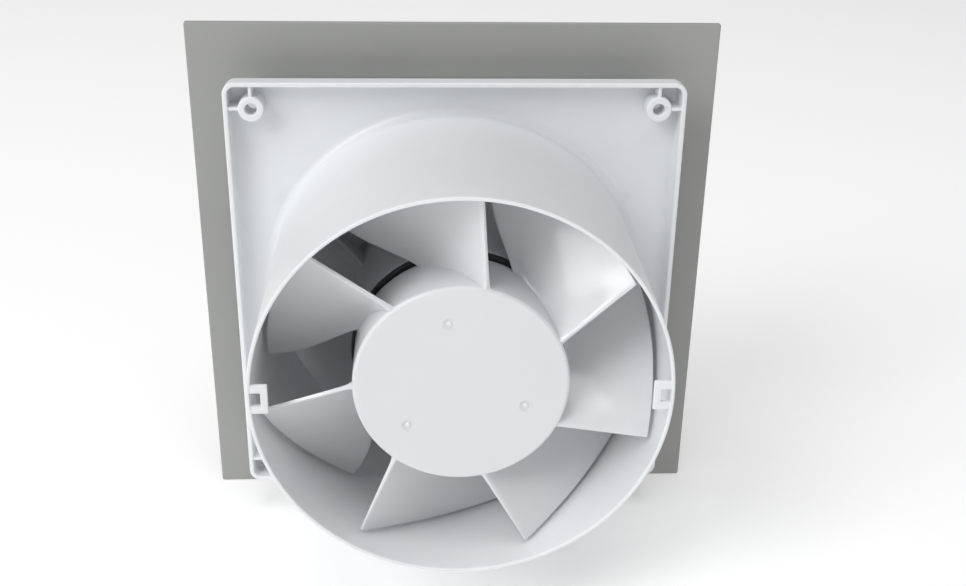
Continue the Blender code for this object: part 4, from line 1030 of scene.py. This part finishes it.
def make_paints():
    paints = {
        "white_abs": moulded("satin_white_abs", (0.785, 0.80, 0.81), 0.34, (0.765, 0.78, 0.795)),
        "white_impeller": moulded("satin_white_impeller", (0.75, 0.76, 0.77), 0.13, (0.73, 0.74, 0.755)),
        "natural_polyamide": moulded("natural_polyamide", (0.72, 0.70, 0.62), 0.42, (0.68, 0.655, 0.57)),
        "nylon": moulded("natural_nylon", (0.70, 0.68, 0.62), 0.48, (0.66, 0.64, 0.57)),
        "black_rubber": moulded(
            "black_rubber", (0.012, 0.012, 0.013), 0.55, (0.022, 0.022, 0.022), grain_mm=0.2, height=0.02,
        ),
        "foam_tape": moulded(
            "foam_tape", (0.05, 0.05, 0.052), 0.9, (0.09, 0.09, 0.09), grain_mm=0.45, height=0.12,
        ),
        "brown_wire": moulded(
            "brown_insulation", (0.14, 0.05, 0.025), 0.4, (0.18, 0.07, 0.035), grain_mm=0.2,
        ),
        "blue_wire": moulded(
            "blue_insulation", (0.02, 0.10, 0.42), 0.4, (0.03, 0.13, 0.48), grain_mm=0.2,
        ),
    }

    # White plastic this thin lets some light through
    for slot in ("white_abs", "white_impeller"):
        paints[slot].set("Subsurface Weight", 0.35)
        paints[slot].set("Subsurface Radius", (1.0, 0.95, 0.95))
        paints[slot].set("Subsurface Scale", 2.5 * MM)

    panel = Recipe("grey_satin_sheet", (0.34, 0.345, 0.335), 0.38)
    panel.tinted(panel.noise(60.0, 2.0), (0.325, 0.33, 0.322))
    panel.uneven_gloss(panel.noise(12.0, 5.0), 0.04)
    panel.bumped((panel.noise(3.0, 2.0), 0.008), (panel.noise(0.25, 2.0), 0.003))
    paints["grey_panel"] = panel

    stack = Recipe("laminated_steel", (0.30, 0.31, 0.33), 0.42, metallic=1.0)
    stack.tinted(stack.noise(2.0, 5.0, (1.0, 0.12, 1.0)), (0.20, 0.205, 0.22))
    stack.uneven_gloss(stack.noise(4.0, 4.0), 0.1)
    stack.bumped((stack.sheets(0.5), 0.05), (stack.noise(0.3, 3.0), 0.01))
    paints["lamination"] = stack

    copper = turned_metal("bare_copper", (0.72, 0.36, 0.22), 0.32, (0.55, 0.25, 0.14), (1.0, 1.0, 1.0))
    wound = Recipe("enamelled_copper_wire", (0.50, 0.16, 0.055), 0.30, metallic=1.0)
    wound.tinted(wound.noise(1.2, 4.0), (0.36, 0.10, 0.035))
    wound.uneven_gloss(wound.noise(2.5, 3.0), 0.08)
    wound.bumped((wound.noise(0.3, 2.0), 0.01))
    wound.set("Coat Weight", 0.6)
    wound.set("Coat Roughness", 0.12)
    paints.update(copper=copper, enamelled_copper=wound)

    cast = Recipe("die_cast_alloy", (0.56, 0.57, 0.59), 0.45, metallic=1.0)
    cast.tinted(cast.noise(5.0, 5.0), (0.46, 0.47, 0.49))
    cast.uneven_gloss(cast.noise(2.0, 4.0), 0.1)
    cast.bumped((cast.noise(0.8, 4.0), 0.04))
    bronze = Recipe("sintered_bronze", (0.42, 0.28, 0.13), 0.5, metallic=1.0)
    bronze.tinted(bronze.noise(0.6, 4.0), (0.28, 0.18, 0.08))
    bronze.uneven_gloss(bronze.noise(1.0, 4.0), 0.1)
    bronze.bumped((bronze.noise(0.25, 3.0), 0.03))
    paints.update(die_cast=cast, bronze=bronze)
    paints["steel"] = turned_metal("zinc_plated_steel", (0.63, 0.64, 0.66), 0.28, (0.55, 0.56, 0.60))
    return {slot: recipe.material for slot, recipe in paints.items()}


def paint_cad_nodes(paints):
    """Gives each CAD node that stays in sight, or inside the motor, the material of its slot."""
    for entry in frame["record"]["subparts"]:
        node = frame["nodes"][entry["node"]]
        node.data.materials.clear()
        node.data.materials.append(paints[entry["material_slot"]])


# ---- Studio -------------------------------------------------------------------------------------

def aimed(obj, spot_mm, aim_mm, roll=0.0):
    """Places a camera or a light, points it, and rolls it by so many degrees."""
    place, aim = Vector(spot_mm) * MM, Vector(aim_mm) * MM
    turn = (aim - place).to_track_quat("-Z", "Y").to_matrix() @ Matrix.Rotation(math.radians(roll), 3, "Z")
    obj.matrix_world = Matrix.Translation(place) @ turn.to_4x4()
    return obj


def area_light(name, spot_mm, size_mm, watts):
    """A white rectangular light that is aimed at the fan."""
    lamp = bpy.data.lights.new(name, "AREA")
    lamp.shape = "RECTANGLE"
    lamp.size, lamp.size_y = size_mm[0] * MM, size_mm[1] * MM
    lamp.energy = watts
    obj = bpy.data.objects.new(name, lamp)
    bpy.context.scene.collection.objects.link(obj)
    aimed(obj, spot_mm, FAN_MIDDLE)


def build_camera():
    scene = bpy.context.scene
    camera = bpy.data.objects.new("camera", bpy.data.cameras.new("camera"))
    scene.collection.objects.link(camera)
    camera.data.lens = CAMERA_LENS
    camera.data.sensor_width = 36.0
    camera.data.clip_start = 0.01
    aimed(camera, CAMERA_SPOT, CAMERA_AIM, CAMERA_ROLL)
    scene.camera = camera


def build_floor():
    """White paper just under the panel, with a faint glow of its own."""
    floor_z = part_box("front_panel")[0].z / MM - 0.1
    sheet = bmesh.new()
    corners = [(sx * FLOOR_HALF, sy * FLOOR_HALF) for sx, sy in ((-1, -1), (1, -1), (1, 1), (-1, 1))]
    sheet.faces.new([sheet.verts.new(Vector((x, y, floor_z)) * MM) for x, y in corners])
    floor = solid_object("floor", sheet)
    paper = Recipe("white_paper", (0.93, 0.93, 0.93), 0.9)
    paper.tinted(paper.noise(900.0, 1.0), (0.92, 0.92, 0.92))
    paper.set("Emission Color", (1.0, 1.0, 1.0, 1.0))
    paper.set("Emission Strength", FLOOR_GLOW)
    floor.data.materials.append(paper.material)


def build_light():
    """A pale sky, two soft lights overhead, and a window that the blades mirror."""
    scene = bpy.context.scene
    world = bpy.data.worlds.new("studio")
    world.use_nodes = True
    world.node_tree.nodes["Background"].inputs["Color"].default_value = (1.0, 1.0, 1.0, 1.0)
    world.node_tree.nodes["Background"].inputs["Strength"].default_value = SKY_GLOW
    scene.world = world
    scene.view_settings.view_transform = "Standard"

    area_light("key", (1625, 1625, 1875), (1250, 1250), 30.0)
    area_light("ceiling", (0, 750, 2500), (1500, 1500), 21.0)
    area_light("window", (2030, 1270, 730), (875, 1050), 9.5)


def main():
    paints = make_paints()
    paint_cad_nodes(paints)
    build_casing(paints)
    build_bracket(paints)
    build_coils(paints)
    build_impeller(paints)
    build_panel(paints)
    build_carrier(paints)
    build_fixings(paints)
    build_terminals(paints)
    build_cable_fittings(paints)
    build_cover(paints)
    build_leads(paints)
    build_camera()
    build_floor()
    build_light()


main()
